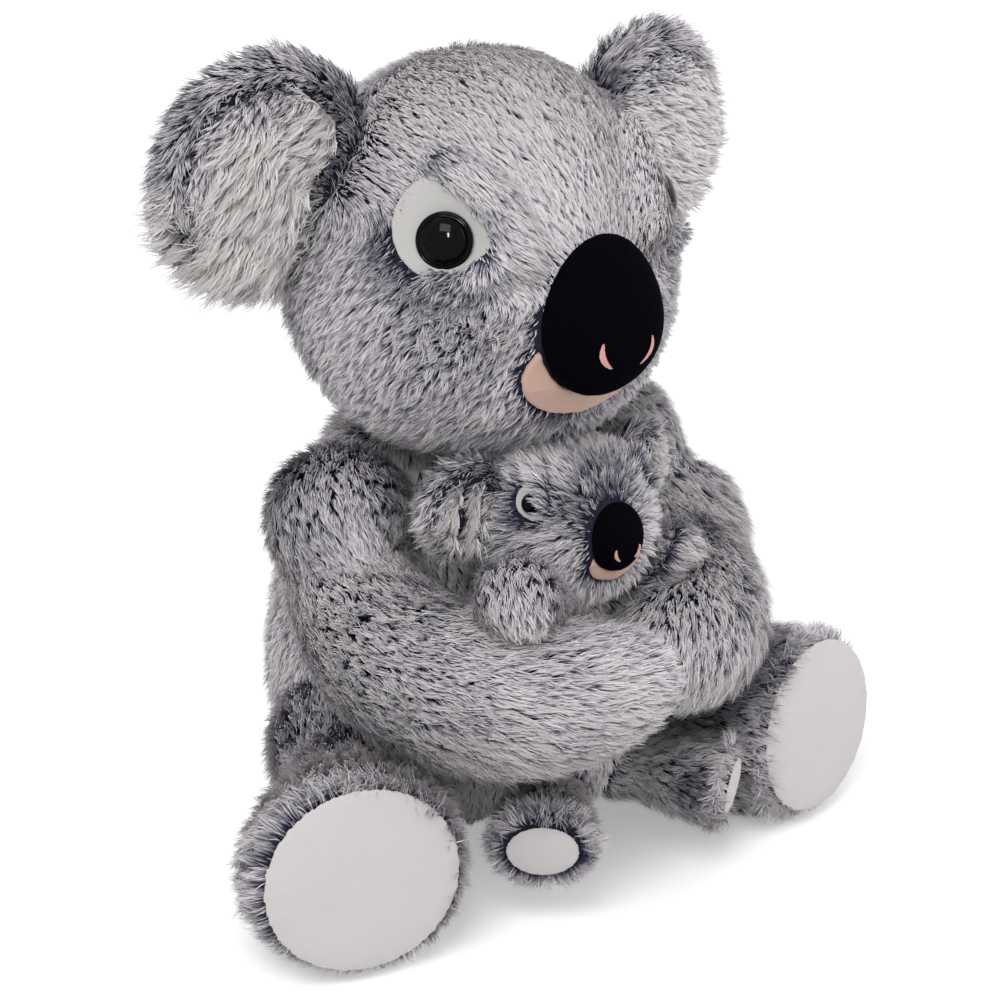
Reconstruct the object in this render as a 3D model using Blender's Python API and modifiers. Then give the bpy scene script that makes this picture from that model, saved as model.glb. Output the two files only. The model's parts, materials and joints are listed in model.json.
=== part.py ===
"""A plush koala that sits and hugs its baby, sewn from stuffed pieces.

Metres, +Z up. The koala faces -Y, so its right side is at -X. The origin is on the floor below its body.
Each stuffed piece is a coarse cage smoothed by subdivision, and the smaller piece is cut where it
presses on the larger one. A piece that moves turns on a ball or a roll sunk in its neighbour.
"""

from math import cos, exp, pi, radians, sin
from types import SimpleNamespace

import bmesh
import bpy
from mathutils import Matrix, Vector
from mathutils.bvhtree import BVHTree

# Clearances
GAP = 0.0004  # between two pieces that press on each other
LIMB_ROOM = 0.0010  # between two limbs that both move
BABY_HEAD_ROOM = 0.0012  # round the baby's head, which turns beside its arms
FLOOR_CUT = 0.0005  # how deep the floor flattens what stands on it
REACH = 0.4  # size of the boxes that cut off a whole side

# Mother, body
BODY_WIDTH = 0.148
BODY_DEPTH = 0.124
BODY_SETBACK = 0.019
BODY_BOTTOM = 0.009  # how far its cage reaches below the floor before it is pressed flat
NECK_HEIGHT = 0.166
NECK_WIDTH = 0.104
NECK_DEPTH = 0.078
NECK_SETBACK = 0.010
NECK_OVERRUN = 0.014

# Mother, head
HEAD_WIDTH = 0.152
HEAD_DEPTH = 0.138
HEAD_HEIGHT = 0.1480
HEAD_FORWARD = 0.0115
HEAD_SINK = 0.010
MUZZLE_BULGE = 0.0060
CHEEK_BULGE = 0.0035
EYE_HOLLOW = 0.0090  # how far the stuffing is pulled in behind each eye, before the cloth evens it out

# Mother, ears
EAR_REACH = 0.090
EAR_LENGTH = 0.096
EAR_THICKNESS = 0.0170
EAR_CUP = 0.0035
EAR_ROLL = 0.0090
EAR_SEAT = 0.0045  # how deep the root seam lies in the head
LINING_WIDTH = 0.064
LINING_LENGTH = 0.070
LINING_THICKNESS = 0.0090

# Mother, face
EYE_PATCH_WIDTH = 0.0385
EYE_PATCH_THICKNESS = 0.0013
EYE_BUTTON_WIDTH = 0.0200
EYE_BUTTON_HEIGHT = 0.0050
EYE_SHANK_WIDTH = 0.0050
EYE_SHANK_LENGTH = 0.0120
WASHER_WIDTH = 0.0160
WASHER_THICKNESS = 0.0018
WASHER_DEPTH = 0.0060
NOSE_WIDTH = 0.052
NOSE_HEIGHT = 0.063
NOSE_DEPTH = 0.024
NOSTRIL_LENGTH = 0.0115
NOSTRIL_WIDTH = 0.0026
NOSTRIL_THICKNESS = 0.0007
MOUTH_WIDTH = 0.056
MOUTH_HEIGHT = 0.038
MOUTH_THICKNESS = 0.0022

# Mother, arms
SHOULDER_SPREAD = {"right": 0.060, "left": 0.064}
SHOULDER_FORWARD = 0.008
SHOULDER_HEIGHT = {"right": 0.138, "left": 0.143}
SHOULDER_BALL = 0.0275
ARM_GIRTH = 0.062
ARM_SPREAD = {"right": 0.066, "left": 0.070}
PAW_WIDTH = 0.064
PAW_HEIGHT = 0.064
RIGHT_PAW_REACH = 0.112
RIGHT_PAW_CROSSING = 0.009  # how far the right paw's tip goes past the middle
RIGHT_PAW_HEIGHT = 0.098
LEFT_PAW_REACH = 0.086
LEFT_PAW_SHORT = 0.005  # how far the left paw's tip stops short of the middle
LEFT_PAW_HEIGHT = 0.091

# Mother, legs
HIP_SPREAD = 0.048
HIP_FORWARD = 0.002
HIP_HEIGHT = 0.041
HIP_BALL = 0.0350
THIGH_WIDTH = 0.066
THIGH_HEIGHT = 0.068
FOOT_WIDTH = 0.089
FOOT_HEIGHT = 0.078
FOOT_SPREAD = 0.106
FOOT_FORWARD = 0.088
FOOT_CENTRE_HEIGHT = 0.0390
FOOT_OVERRUN = 0.010
SOLE_WIDTH = 0.0780
SOLE_HEIGHT = 0.0730
SOLE_CROWN = 0.0040

# Baby, body
BABY_SHIFT = 0.009
BABY_FORWARD = 0.061
BABY_SEAT_HEIGHT = 0.024
BABY_WIDTH = 0.050
BABY_DEPTH = 0.036
BABY_NECK_HEIGHT = 0.1145
BABY_NECK_SHIFT = 0.002
BABY_NECK_WIDTH = 0.036
BABY_NECK_DEPTH = 0.034
BABY_NECK_OVERRUN = 0.008

# Baby, head
BABY_HEAD_WIDTH = 0.067
BABY_HEAD_DEPTH = 0.061
BABY_HEAD_HEIGHT = 0.059
BABY_HEAD_FORWARD = 0.061
BABY_HEAD_SINK = 0.0025
BABY_MUZZLE_BULGE = 0.0026
BABY_CHEEK_BULGE = 0.0012
BABY_EYE_HOLLOW = 0.0012

# Baby, ears
BABY_EAR_REACH = 0.038
BABY_EAR_LENGTH = 0.038
BABY_EAR_THICKNESS = 0.0086
BABY_EAR_CUP = 0.0016
BABY_EAR_ROLL = 0.0046
BABY_EAR_SEAT = 0.0018
BABY_LINING_WIDTH = 0.028
BABY_LINING_LENGTH = 0.028
BABY_LINING_THICKNESS = 0.0044

# Baby, face
BABY_PATCH_WIDTH = 0.0140
BABY_PATCH_THICKNESS = 0.0010
BABY_BUTTON_WIDTH = 0.0075
BABY_BUTTON_HEIGHT = 0.0026
BABY_SHANK_WIDTH = 0.0024
BABY_SHANK_LENGTH = 0.0062
BABY_WASHER_WIDTH = 0.0070
BABY_WASHER_THICKNESS = 0.0010
BABY_WASHER_DEPTH = 0.0034
BABY_NOSE_WIDTH = 0.0240
BABY_NOSE_HEIGHT = 0.0270
BABY_NOSE_DEPTH = 0.0125
BABY_NOSTRIL_LENGTH = 0.0050
BABY_NOSTRIL_WIDTH = 0.0013
BABY_NOSTRIL_THICKNESS = 0.0006
BABY_MOUTH_WIDTH = 0.0225
BABY_MOUTH_HEIGHT = 0.0150
BABY_MOUTH_THICKNESS = 0.0012

# Baby, arms
BABY_SHOULDER_SPREAD = 0.017
BABY_SHOULDER_FORWARD = 0.063
BABY_SHOULDER_HEIGHT = 0.103
BABY_SHOULDER_BALL = 0.0098
BABY_ARM_GIRTH = 0.019
BABY_PAW_WIDTH = 0.028
BABY_PAW_HEIGHT = 0.020
BABY_RIGHT_PAW_SPREAD = 0.050
BABY_RIGHT_PAW_FORWARD = 0.109
BABY_RIGHT_PAW_HEIGHT = 0.139
BABY_LEFT_PAW_SPREAD = 0.040
BABY_LEFT_PAW_FORWARD = 0.086
BABY_LEFT_PAW_HEIGHT = 0.134

# Baby, legs
BABY_HIP_SPREAD = 0.015
BABY_HIP_FORWARD = 0.064
BABY_HIP_HEIGHT = 0.038
BABY_HIP_BALL = 0.0130
BABY_THIGH_GIRTH = 0.024
BABY_FOOT_WIDTH = 0.041
BABY_FOOT_HEIGHT = 0.033
BABY_FOOT_SPREAD = 0.0445
BABY_FOOT_FORWARD = 0.099
BABY_FOOT_CENTRE_HEIGHT = 0.033
BABY_FOOT_OVERRUN = 0.005
BABY_SOLE_WIDTH = 0.029
BABY_SOLE_HEIGHT = 0.0225
BABY_SOLE_CROWN = 0.0022

# Angles
SOLE_SPLAY = radians(15)
SOLE_TILT = radians(5)
BABY_SOLE_SPLAY = radians(38)
BABY_SOLE_TILT = radians(-6)
ARM_AXIS_TILT = radians(10)
EYE_TURN = {"right": radians(46), "left": radians(50)}
EYE_RISE = radians(23)
BABY_EYE_TURN = {"right": radians(60), "left": radians(60)}
BABY_EYE_RISE = radians(30)
NOSE_RISE = radians(-5)
MOUTH_RISE = radians(-21.5)
BABY_NOSE_RISE = radians(4)
BABY_MOUTH_RISE = radians(-14)
NOSTRIL_TURN = radians(36)
NOSTRIL_DROP = radians(36)
TEAR_CORNER = radians(-140)

# Turns at which each moving piece is cleared of its neighbours
EAR_TURNS = (radians(-20), radians(20))
ARM_TURNS = (0, radians(10), radians(20))
LEG_TURNS = (0, radians(10), radians(20))
BABY_LIFTS = (0, radians(10))
BABY_KICKS = (radians(-8), 0, radians(8))

# The sides of the animal: its right is at -X
SIDES = {"right": -1, "left": 1}


def clear_scene():
    for obj in list(bpy.data.objects):
        bpy.data.objects.remove(obj)


def collection(name, shown=True):
    made = bpy.data.collections.new(name)
    bpy.context.scene.collection.children.link(made)
    made.hide_render = not shown
    return made


clear_scene()
KOALA = collection("plush_koala")
CUTTERS = collection("cutters", shown=False)

# Colour and roughness of each kind of cloth or plastic
FINISHES = {
    "fur": ((0.22, 0.21, 0.25), 0.9),
    "ear_lining": ((0.78, 0.77, 0.78), 0.9),
    "felt": ((0.86, 0.85, 0.84), 0.9),
    "sole": ((0.70, 0.68, 0.68), 0.8),
    "nose": ((0.008, 0.008, 0.011), 0.8),
    "mouth": ((0.62, 0.40, 0.33), 0.8),
    "nostril": ((0.65, 0.36, 0.32), 0.6),
    "button": ((0.006, 0.006, 0.007), 0.08),
    "washer": ((0.75, 0.75, 0.73), 0.4),
}


def finish(obj, kind):
    """Gives a piece a material of its own, in the colour of its kind, and smooth shading."""
    colour, roughness = FINISHES[kind]
    made = bpy.data.materials.new(obj.name + "_" + kind)
    made.use_nodes = True
    shader = made.node_tree.nodes["Principled BSDF"]
    shader.inputs["Base Color"].default_value = (*colour, 1)
    shader.inputs["Roughness"].default_value = roughness
    shader.inputs["Metallic"].default_value = 0
    made.diffuse_color = (*colour, 1)
    obj.data.materials.clear()
    obj.data.materials.append(made)
    for polygon in obj.data.polygons:
        polygon.use_smooth = True
    return obj


def as_cutter(obj):
    obj.display_type = "WIRE"
    obj.hide_render = True
    return obj


def object_of(name, maker, target):
    """A mesh object in world coordinates, from a bmesh."""
    mesh = bpy.data.meshes.new(name)
    maker.to_mesh(mesh)
    maker.free()
    made = bpy.data.objects.new(name, mesh)
    target.objects.link(made)
    return as_cutter(made) if target is CUTTERS else made


def settled(obj):
    """The object's mesh as its modifiers leave it now."""
    bpy.context.view_layer.update()
    graph = bpy.context.evaluated_depsgraph_get()
    return bpy.data.meshes.new_from_object(obj.evaluated_get(graph))


def smoothed(obj):
    """Subdivides a coarse cage and splits its faces the same way in each copy."""
    rounding = obj.modifiers.new("rounding", "SUBSURF")
    rounding.levels = 1
    rounding.render_levels = 1
    split = obj.modifiers.new("split", "TRIANGULATE")
    split.quad_method = "FIXED"
    return obj


def boolean(obj, other, operation="DIFFERENCE"):
    step = obj.modifiers.new(operation.lower(), "BOOLEAN")
    step.operation = operation
    step.solver = "EXACT"
    step.object = other
    return obj


def cut(obj, *cutters):
    for cutter in cutters:
        boolean(obj, cutter)
    return obj


def grown(obj, by, target=None, name=None):
    """The piece's own shape, larger all round by a clearance."""
    maker = bmesh.new()
    maker.from_mesh(settled(obj))
    maker.normal_update()
    places = [vert.co + vert.normal * by for vert in maker.verts]
    for vert, place in zip(maker.verts, places):
        vert.co = place
    return object_of(name or obj.name + "_grown", maker, target or CUTTERS)


class Form:
    """A stuffed piece with its uncut shape, the cutter that clears it, and its centre."""

    def __init__(self, piece, centre=None):
        self.piece = piece
        self.shape = grown(piece, 0)
        self.skin = grown(piece, GAP)
        self.room = grown(piece, LIMB_ROOM)
        self.centre = centre
        maker = bmesh.new()
        maker.from_mesh(self.shape.data)
        self.tree = BVHTree.FromBMesh(maker)
        maker.free()

    def skin_point(self, direction):
        """Where a ray from the centre leaves the skin, and the way the skin faces there."""
        place, normal, _, _ = self.tree.ray_cast(self.centre, direction.normalized())
        return place, normal.normalized()

    def turned_back(self, hinge, turns, skin=None):
        """The cutter as the moving piece meets it at each of its turns."""
        skin = skin or self.skin
        made = []
        for turn in turns:
            move = Matrix.Translation(hinge.centre) @ Matrix.Rotation(-turn, 4, hinge.axis)
            copy = skin.data.copy()
            copy.transform(move @ Matrix.Translation(-hinge.centre))
            cutter = bpy.data.objects.new(skin.name + "_turned", copy)
            CUTTERS.objects.link(cutter)
            made.append(as_cutter(cutter))
        return made


UPWARD = Vector((0, 0, 1))
SLANT = Vector((0.2, 0.3, 1))


def frame_of(heading, upward=UPWARD):
    """Three unit vectors: across, up and along a heading."""
    heading = heading.normalized()
    across = upward.cross(heading).normalized()
    return across, heading.cross(across).normalized(), heading


def placed(centre, across, up, heading):
    matrix = Matrix((across, up, heading)).transposed().to_4x4()
    matrix.translation = centre
    return matrix


def slab(name, centre, heading):
    """All that lies ahead of a plane, as a large box."""
    maker = bmesh.new()
    bmesh.ops.create_cube(maker, size=REACH)
    maker.transform(placed(centre + heading.normalized() * REACH / 2, *frame_of(heading, SLANT)))
    return object_of(name, maker, CUTTERS)


BALL_RINGS = 7  # an odd count, so that no ring lies where a roll is drawn out


def seat_radius(radius, around):
    """A seat whose flats, not only its corners, clear the ball that turns in it."""
    return (radius + GAP) / cos(pi / around)


def roll(name, centre, axis, radius, around, length=0):
    """A ball, or a round roll with domed ends, about the axis that it turns on."""
    maker = bmesh.new()
    bmesh.ops.create_uvsphere(maker, u_segments=around, v_segments=BALL_RINGS, radius=radius)
    stretch = max(0, length / 2 - radius)
    for vert in maker.verts:
        vert.co.z += stretch if vert.co.z > 0 else -stretch
    maker.transform(placed(centre, *frame_of(axis, SLANT)))
    return object_of(name, maker, CUTTERS)


def on_path(stations, share):
    """A place on the smooth curve through the stations, and the girths there."""
    last = len(stations) - 1
    whole = min(int(share * last), last - 1)
    u = share * last - whole
    before = stations[max(whole - 1, 0)]
    here = stations[whole]
    ahead = stations[whole + 1]
    beyond = stations[min(whole + 2, last)]
    straight = (ahead - before) * u
    bend = (2 * before - 5 * here + 4 * ahead - beyond) * u**2
    twist = (3 * here - before - 3 * ahead + beyond) * u**3
    return (2 * here + straight + bend + twist) / 2


def cage_growth(around):
    """How much a ring of points shrinks when it is subdivided, undone."""
    return 1 / (2 / 3 + cos(2 * pi / around) / 3)


STEP_SHARE = 0.01  # how far apart two places are that give a path its direction


def soft_form(name, stations, upward, blunt_shares, around=10, along=8, lowest=None):
    """A stuffed tube that swells, tapers and bends through its stations.

    A station is (x, y, z, half width, half height). The cage is a ball of rings, each ring moved
    to its place on the path. The blunt shares say how square the first and the last end are.
    """
    stations = [Vector(tuple(station)) for station in stations]
    maker = bmesh.new()
    bmesh.ops.create_uvsphere(maker, u_segments=around, v_segments=along, radius=1)
    for vert in maker.verts:
        share = (1 + vert.co.z) / 2
        ring = min(vert.co.xy.length, 1)
        here = on_path(stations, share)
        path = on_path(stations, min(share + STEP_SHARE, 1)) - on_path(stations, max(share - STEP_SHARE, 0))
        across, up, _ = frame_of(Vector(path[:3]), Vector(upward))
        blunt = blunt_shares[0] + (blunt_shares[1] - blunt_shares[0]) * share
        place = Vector(here[:3])
        if ring > STEP_SHARE:
            full = ring ** (1 - blunt) * cage_growth(around) / ring
            place += across * vert.co.x * full * here[3] + up * vert.co.y * full * here[4]
        if lowest is not None:
            place.z = max(place.z, lowest)
        vert.co = place
    return smoothed(object_of(name, maker, KOALA))


def round_form(name, centre, halves, bumps, around, along):
    """A stuffed ball with bulges. A bump is (direction, height, width in radians)."""
    maker = bmesh.new()
    bmesh.ops.create_uvsphere(maker, u_segments=around, v_segments=along, radius=1)
    growth = cage_growth(around)
    for vert in maker.verts:
        out = vert.co.normalized()
        place = Vector([c * h for c, h in zip(out, halves)]) * growth
        for direction, height, width in bumps:
            place += out * height * exp(-((out.angle(Vector(direction)) / width) ** 2))
        vert.co = centre + place
    return smoothed(object_of(name, maker, KOALA))


def lens(name, centre, directions, halves, around, along, cup=0, taper_share=0):
    """A flattened ball on its own three directions, hollowed ahead by a cup and narrowed upwards."""
    maker = bmesh.new()
    bmesh.ops.create_uvsphere(maker, u_segments=around, v_segments=along, radius=1)
    growth = cage_growth(around)
    for vert in maker.verts:
        flat = min(vert.co.xy.length, 1)
        hollow = cup * (1 - flat**2) ** 2
        narrow = 1 - taper_share * max(0, vert.co.y)
        vert.co.x *= halves[0] * growth * narrow
        vert.co.y *= halves[1] * growth
        vert.co.z = vert.co.z * halves[2] * growth - hollow
    maker.transform(placed(centre, *directions))
    return smoothed(object_of(name, maker, KOALA))


def prism(name, centre, directions, outline, half_length):
    """A straight bar with a flat outline, as long each way from its centre."""
    maker = bmesh.new()
    rim = [maker.verts.new((x, y, -half_length)) for x, y in outline]
    raised = bmesh.ops.extrude_face_region(maker, geom=[maker.faces.new(rim)])["geom"]
    moved = [item for item in raised if isinstance(item, bmesh.types.BMVert)]
    bmesh.ops.translate(maker, verts=moved, vec=(0, 0, 2 * half_length))
    bmesh.ops.recalc_face_normals(maker, faces=maker.faces)
    maker.transform(placed(centre, *directions))
    return object_of(name, maker, CUTTERS)


def patch(name, form, thickness, bar):
    """A piece of cloth that lies on a stuffed form: a slice of the space just above its skin."""
    made = grown(form.shape, GAP + thickness, KOALA, name)
    boolean(made, bar, "INTERSECT")
    return cut(made, form.skin)


def turned(name, profile, centre, heading, around, target=None):
    """A turned piece: a profile of (radius, height) spun on the heading."""
    closed = profile[0] == profile[-1]
    maker = bmesh.new()
    points = [maker.verts.new((radius, 0, height)) for radius, height in profile[1 if closed else 0 :]]
    ends = points[1:] + points[:1] if closed else points[1:]
    for first, second in zip(points, ends):
        maker.edges.new((first, second))
    mesh = bpy.data.meshes.new(name)
    maker.to_mesh(mesh)
    maker.free()
    made = bpy.data.objects.new(name, mesh)
    (target or KOALA).objects.link(made)
    made.matrix_world = placed(centre, *frame_of(heading, SLANT))
    spin = made.modifiers.new("spin", "SCREW")
    spin.steps = around
    spin.render_steps = around
    spin.use_merge_vertices = True
    spin.merge_threshold = 0.00001
    spin.use_normal_calculate = True
    spin.use_normal_flip = True
    return as_cutter(made) if target is CUTTERS else made


def hang(piece, parent):
    """Parents a piece and leaves it where it is."""
    bpy.context.view_layer.update()
    piece.parent = parent
    piece.matrix_parent_inverse = parent.matrix_world.inverted()
    return piece


def joint(name, centre, axis, parent=None):
    """An empty on a joint's axis, which carries the pieces that move together."""
    made = bpy.data.objects.new(name + "_joint", None)
    made.empty_display_size = SHOULDER_BALL
    KOALA.objects.link(made)
    made.location = centre
    if parent:
        hang(made, parent)
    axis = axis.normalized()
    print("JOINT", name, [round(v, 6) for v in centre], [round(v, 6) for v in axis])
    return SimpleNamespace(name=name, empty=made, centre=centre, axis=axis)


def to_side(side, place):
    return Vector((place[0] * SIDES[side], place[1], place[2]))


def turning(side, axis):
    """The axis of a mirrored turn: both sides open at positive angles."""
    return Vector(axis) if side == "right" else Vector((axis[0], -axis[1], -axis[2]))


def outward(side, turn, rise):
    """A direction turned from straight ahead (-Y) to the piece's own side, and raised."""
    return Vector((sin(turn) * cos(rise) * SIDES[side], -cos(turn) * cos(rise), sin(rise)))


FLOOR = slab("floor_cutter", Vector((0, 0, 0)), Vector((0, 0, -1)))


def ellipse(width, height, count):
    turns = [2 * pi * i / count for i in range(count)]
    return [(width / 2 * cos(turn), height / 2 * sin(turn)) for turn in turns]


TEAR_SHARE = 0.16  # how far the corner of the eye patch stands out, as a share of its radius
NOSTRIL_LEAN = radians(20)  # how far the lower end of a nostril leans to the middle
NOSTRIL_BOW_SHARE = 0.16  # how far a nostril bows, as a share of its length


def tear_outline(width, corner, count):
    """A round outline with one soft corner."""
    points = []
    for i in range(count):
        turn = 2 * pi * i / count
        radius = width / 2 * (1 + TEAR_SHARE * max(0, cos(turn - corner)) ** 6)
        points.append((radius * cos(turn), radius * sin(turn)))
    return points


def leaning(outline, turn):
    """A flat outline turned in its own plane."""
    return [(x * cos(turn) - y * sin(turn), x * sin(turn) + y * cos(turn)) for x, y in outline]


def crescent(length, width, sign, count):
    """A bowed stitch, thick in the middle and narrow at its ends."""
    sides = []
    for edge in (-1, 1):
        row = []
        for i in range(count + 1):
            share = i / count
            swell = 1 - (2 * share - 1) ** 2
            middle = sign * NOSTRIL_BOW_SHARE * length * swell
            row.append((middle + edge * width / 2 * (swell + 1) / 2, (share - 1 / 2) * length))
        sides.append(row)
    return sides[0] + sides[1][::-1]


MOTHER_FACE = SimpleNamespace(
    prefix="",
    eye_turn=EYE_TURN,
    eye_rise=EYE_RISE,
    patch_width=EYE_PATCH_WIDTH,
    patch_thickness=EYE_PATCH_THICKNESS,
    patch_around=20,
    button_drop_share=0.13,
    button_width=EYE_BUTTON_WIDTH,
    button_height=EYE_BUTTON_HEIGHT,
    button_around=16,
    shank_width=EYE_SHANK_WIDTH,
    shank_length=EYE_SHANK_LENGTH,
    washer_width=WASHER_WIDTH,
    washer_thickness=WASHER_THICKNESS,
    washer_depth=WASHER_DEPTH,
    nose_rise=NOSE_RISE,
    nose_halves=(NOSE_WIDTH / 2, NOSE_HEIGHT / 2, NOSE_DEPTH / 2),
    nose_around=12,
    nose_taper_share=0.16,
    nostril_length=NOSTRIL_LENGTH,
    nostril_width=NOSTRIL_WIDTH,
    nostril_thickness=NOSTRIL_THICKNESS,
    mouth_rise=MOUTH_RISE,
    mouth_width=MOUTH_WIDTH,
    mouth_height=MOUTH_HEIGHT,
    mouth_thickness=MOUTH_THICKNESS,
)
BABY_FACE = SimpleNamespace(
    prefix="baby_",
    eye_turn=BABY_EYE_TURN,
    eye_rise=BABY_EYE_RISE,
    patch_width=BABY_PATCH_WIDTH,
    patch_thickness=BABY_PATCH_THICKNESS,
    patch_around=16,
    button_drop_share=0.10,
    button_width=BABY_BUTTON_WIDTH,
    button_height=BABY_BUTTON_HEIGHT,
    button_around=10,
    shank_width=BABY_SHANK_WIDTH,
    shank_length=BABY_SHANK_LENGTH,
    washer_width=BABY_WASHER_WIDTH,
    washer_thickness=BABY_WASHER_THICKNESS,
    washer_depth=BABY_WASHER_DEPTH,
    nose_rise=BABY_NOSE_RISE,
    nose_halves=(BABY_NOSE_WIDTH / 2, BABY_NOSE_HEIGHT / 2, BABY_NOSE_DEPTH / 2),
    nose_around=10,
    nose_taper_share=0.14,
    nostril_length=BABY_NOSTRIL_LENGTH,
    nostril_width=BABY_NOSTRIL_WIDTH,
    nostril_thickness=BABY_NOSTRIL_THICKNESS,
    mouth_rise=BABY_MOUTH_RISE,
    mouth_width=BABY_MOUTH_WIDTH,
    mouth_height=BABY_MOUTH_HEIGHT,
    mouth_thickness=BABY_MOUTH_THICKNESS,
)


def eye(face, side, head, neck):
    """The felt patch, the domed button on its shank and the washer that locks it inside the head."""
    place, normal = head.skin_point(outward(side, face.eye_turn[side], face.eye_rise))
    directions = frame_of(normal)
    corner = TEAR_CORNER if side == "left" else pi - TEAR_CORNER
    outline = tear_outline(face.patch_width, corner, face.patch_around)
    name = face.prefix + "eye_bar_" + side
    bar = prism(name, place, directions, outline, face.patch_width / 3)
    white = patch(face.prefix + "eye_patch_" + side, head, face.patch_thickness, bar)
    lowered = place - directions[1] * face.patch_width * face.button_drop_share
    seat, normal = head.skin_point(lowered - head.centre)
    radius = face.button_width / 2
    rises = []
    for turn in range(8):
        beside = directions[0] * cos(pi / 4 * turn) + directions[1] * sin(pi / 4 * turn)
        felt, _ = head.skin_point(seat + beside * radius - head.centre)
        rises.append((felt - seat).dot(normal))
    sag = max(0, -max(rises))
    seat = seat + normal * (3 * GAP + face.patch_thickness + max(0, max(rises)))
    rim = face.button_height / 5
    dome = face.button_height - rim
    steps = [pi / 2 * i / 5 for i in range(6)]
    profile = [(radius * sin(step), rim + dome * cos(step)) for step in steps]
    shank = face.shank_width / 2
    back = [(radius, -sag / 2), (radius - rim / 2, -sag / 2), (shank, 0), (shank, -face.shank_length)]
    profile += back + [(0, -face.shank_length)]
    button = turned(face.prefix + "eye_button_" + side, profile, seat, normal, face.button_around)
    wide = face.washer_width / 2
    near = -face.washer_depth
    far = near - face.washer_thickness
    bore = shank + GAP
    ring = [(bore, near), (wide, near), (wide, far), (bore, far), (bore, near)]
    washer = turned(face.prefix + "eye_washer_" + side, ring, seat, normal, face.button_around)
    room = wide + GAP
    below = -face.shank_length - GAP
    space = [(0, dome), (bore, dome), (bore, near + GAP), (room, near + GAP), (room, far - GAP)]
    space += [(bore, far - GAP), (bore, below), (0, below)]
    hole = turned(face.prefix + "eye_hole_" + side, space, seat, normal, face.button_around, CUTTERS)
    cut(white, hole)
    cut(head.piece, hole)
    for piece, kind in ((white, "felt"), (button, "button"), (washer, "washer")):
        finish(hang(piece, neck.empty), kind)


def nose_and_mouth(face, head, neck):
    """The stuffed nose, its two embroidered nostrils and the mouth patch below it."""
    ahead = Vector((0, -cos(face.nose_rise), sin(face.nose_rise)))
    place, _ = head.skin_point(ahead)
    directions = frame_of(ahead)
    around = face.nose_around
    halves, taper_share = face.nose_halves, face.nose_taper_share
    nose = lens(face.prefix + "nose", place, directions, halves, around, 6, 0, taper_share)
    form = Form(nose, place)
    for side in SIDES:
        look = outward(side, NOSTRIL_TURN, face.nose_rise - NOSTRIL_DROP)
        spot, normal = form.skin_point(look)
        outline = crescent(face.nostril_length, face.nostril_width, SIDES[side], 5)
        outline = leaning(outline, -SIDES[side] * NOSTRIL_LEAN)
        name = face.prefix + "nostril_bar_" + side
        bar = prism(name, spot, frame_of(normal), outline, face.nose_halves[2] / 2)
        stitch = patch(face.prefix + "nostril_" + side, form, face.nostril_thickness, bar)
        finish(hang(stitch, neck.empty), "nostril")
    low, normal = head.skin_point(Vector((0, -cos(face.mouth_rise), sin(face.mouth_rise))))
    outline = ellipse(face.mouth_width, face.mouth_height, 24)
    bar = prism(face.prefix + "mouth_bar", low, frame_of(normal), outline, face.mouth_height / 2)
    mouth = cut(patch(face.prefix + "mouth", head, face.mouth_thickness, bar), form.skin)
    cut(nose, head.skin)
    finish(hang(nose, neck.empty), "nose")
    finish(hang(mouth, neck.empty), "mouth")


MOTHER_EAR = SimpleNamespace(
    prefix="",
    root={"right": (0.897, 0.12, 0.43), "left": (0.940, 0.12, 0.32)},
    front=(0.35, -0.93, 0.05),
    seat=EAR_SEAT,
    halves=(EAR_REACH / 2, EAR_LENGTH / 2, EAR_THICKNESS / 2),
    middle_share=0.52,
    cup=EAR_CUP,
    around=12,
    roll=EAR_ROLL,
    roll_around=16,
    roll_share=0.60,
    lining_halves=(LINING_WIDTH / 2, LINING_LENGTH / 2, LINING_THICKNESS / 2),
    lining_shift_share=0.06,
    lift_share=0.78,
    lining_around=10,
)
BABY_EAR = SimpleNamespace(
    prefix="baby_",
    root={"right": (0.93, 0.16, 0.24), "left": (0.93, 0.16, 0.22)},
    front=(0.25, -0.95, 0.05),
    seat=BABY_EAR_SEAT,
    halves=(BABY_EAR_REACH / 2, BABY_EAR_LENGTH / 2, BABY_EAR_THICKNESS / 2),
    middle_share=0.52,
    cup=BABY_EAR_CUP,
    around=8,
    roll=BABY_EAR_ROLL,
    roll_around=10,
    roll_share=0.60,
    lining_halves=(BABY_LINING_WIDTH / 2, BABY_LINING_LENGTH / 2, BABY_LINING_THICKNESS / 2),
    lining_shift_share=0.06,
    lift_share=0.78,
    lining_around=6,
)


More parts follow.
